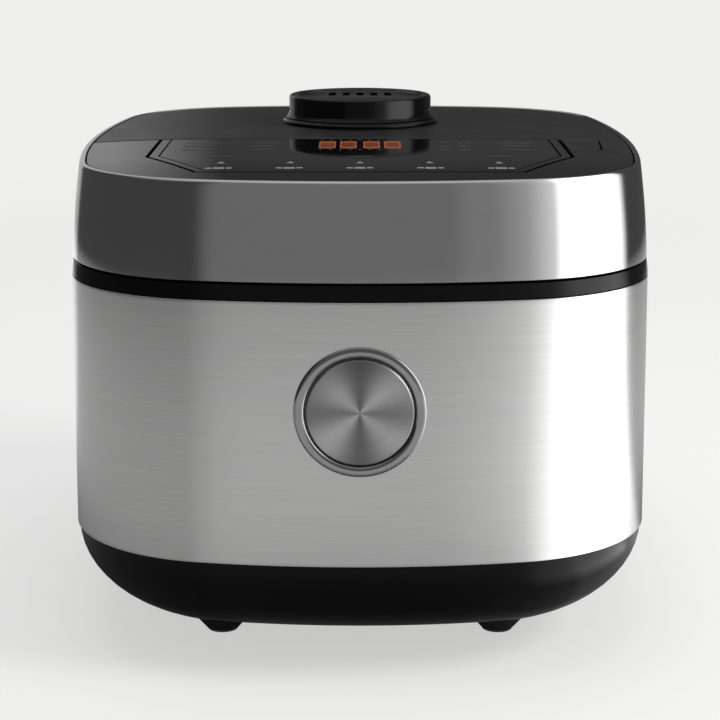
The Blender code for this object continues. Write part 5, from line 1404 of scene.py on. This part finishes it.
def make_tent():
    """Soft wall round the cooker, seen only in its reflections, with a few lit panels on it, and a floor
    glowing less near the cooker as a painted shadow.
    """
    bpy.ops.mesh.primitive_circle_add(vertices=128, radius=0.75, fill_type="NOTHING",
                                      location=(0.0, 0.0, 0.0015))
    ground = bpy.context.object
    bpy.ops.object.transform_apply(location=True, rotation=True, scale=True)
    bpy.ops.object.mode_set(mode="EDIT")
    bpy.ops.mesh.select_all(action="SELECT")
    bpy.ops.mesh.extrude_region_move(TRANSFORM_OT_translate={"value": (0.0, 0.0, 1.3)})
    close_ring(ground, lambda place: place.z < 0.01)
    bpy.ops.object.mode_set(mode="OBJECT")
    tent = ground
    tent.name = "studio_tent"
    material = bpy.data.materials.new("tent_cloth")
    material.use_nodes = True
    tree = material.node_tree
    tree.nodes.clear()
    place = tree.nodes.new("ShaderNodeTexCoord")
    turn = tree.nodes.new("ShaderNodeMapping")
    turn.inputs["Rotation"].default_value = (0.0, 0.0, math.radians(90.0))
    tree.links.new(place.outputs["Object"], turn.inputs["Vector"])
    around = tree.nodes.new("ShaderNodeTexGradient")
    around.gradient_type = "RADIAL"
    tree.links.new(turn.outputs[0], around.inputs["Vector"])
    bearing = range_node(tree, around.outputs["Fac"], 0.0, 1.0, -180.0, 180.0)
    wall = TENT_LEVEL
    for middle, half_width, soft_edge, brightness in TENT_PANELS.values():
        mask = panel_mask(tree, bearing, middle, half_width, soft_edge)
        wall = math_node(tree, "ADD", math_node(tree, "MULTIPLY", mask, brightness), wall)
    split = tree.nodes.new("ShaderNodeSeparateXYZ")
    tree.links.new(place.outputs["Object"], split.inputs[0])
    low = range_node(tree, split.outputs["Z"], 0.06, 0.11)
    distance = tree.nodes.new("ShaderNodeVectorMath")
    distance.operation = "LENGTH"
    tree.links.new(place.outputs["Object"], distance.inputs[0])
    # The tent's floor glows less close to the cooker, a painted shadow of the cooker seen in reflections, and
    # stays bright on the lit right side, a painted pool of light.
    painted_floor_shadow_and_light = range_node(tree, distance.outputs["Value"], 0.17, 0.42, 0.06, 1.0)
    lit_side = math_node(tree, "MULTIPLY", panel_mask(tree, bearing, *LIT_FLOOR),
                         range_node(tree, distance.outputs["Value"], 0.20, 0.24))
    painted_floor_shadow_and_light = math_node(tree, "MAXIMUM", painted_floor_shadow_and_light, lit_side)
    from_wall = math_node(tree, "MINIMUM", math_node(tree, "MULTIPLY", wall, 1.4), 2.6)
    bounce = math_node(tree, "ADD", from_wall, 0.48)
    high = range_node(tree, split.outputs["Z"], 0.62, 0.95)
    upper = tree.nodes.new("ShaderNodeMix")
    tree.links.new(high, upper.inputs["Factor"])
    tree.links.new(wall, upper.inputs["A"])
    upper.inputs["B"].default_value = 0.75
    level = tree.nodes.new("ShaderNodeMix")
    tree.links.new(low, level.inputs["Factor"])
    tree.links.new(math_node(tree, "MULTIPLY", bounce, painted_floor_shadow_and_light), level.inputs["A"])
    tree.links.new(upper.outputs["Result"], level.inputs["B"])
    glow = glow_node(tree, (1.0, 1.0, 1.0), 1.0)
    tree.links.new(level.outputs["Result"], glow.inputs["Strength"])
    out = tree.nodes.new("ShaderNodeOutputMaterial")
    tree.links.new(glow.outputs[0], out.inputs["Surface"])
    tent.data.materials.append(material)
    tent.visible_camera = False
    tent.visible_diffuse = False
    tent.visible_shadow = False
    tent.visible_transmission = False


def make_lamp(name, place, aim, size, power, colour=(1.0, 1.0, 1.0)):
    bpy.ops.object.light_add(type="AREA", location=place)
    lamp = bpy.context.object
    lamp.name = name
    lamp.data.shape = "DISK"
    lamp.data.size = size
    lamp.data.energy = power
    lamp.data.color = colour
    lamp.rotation_euler = (Vector(aim) - Vector(place)).to_track_quat("-Z", "Y").to_euler()
    lamp.visible_glossy = False
    lamp.visible_camera = False


make_world()
make_floor()
make_tent()
make_lamp("key_light", (1.7, -0.6, 1.5), (0.0, 0.0, 0.08), 1.0, 34.0, (1.0, 0.985, 0.96))
make_lamp("top_light", (-0.1, 0.1, 1.9), (0.0, 0.0, 0.0), 1.5, 12.0)

bpy.ops.object.camera_add(location=(0.0, -1.080, 0.364), rotation=(math.radians(77.16), 0.0, 0.0))
camera = bpy.context.object
camera.name = "main_camera"
camera.data.lens = 99.75
camera.data.sensor_width = 36.0
bpy.context.scene.camera = camera
bpy.context.scene.view_settings.view_transform = "Standard"
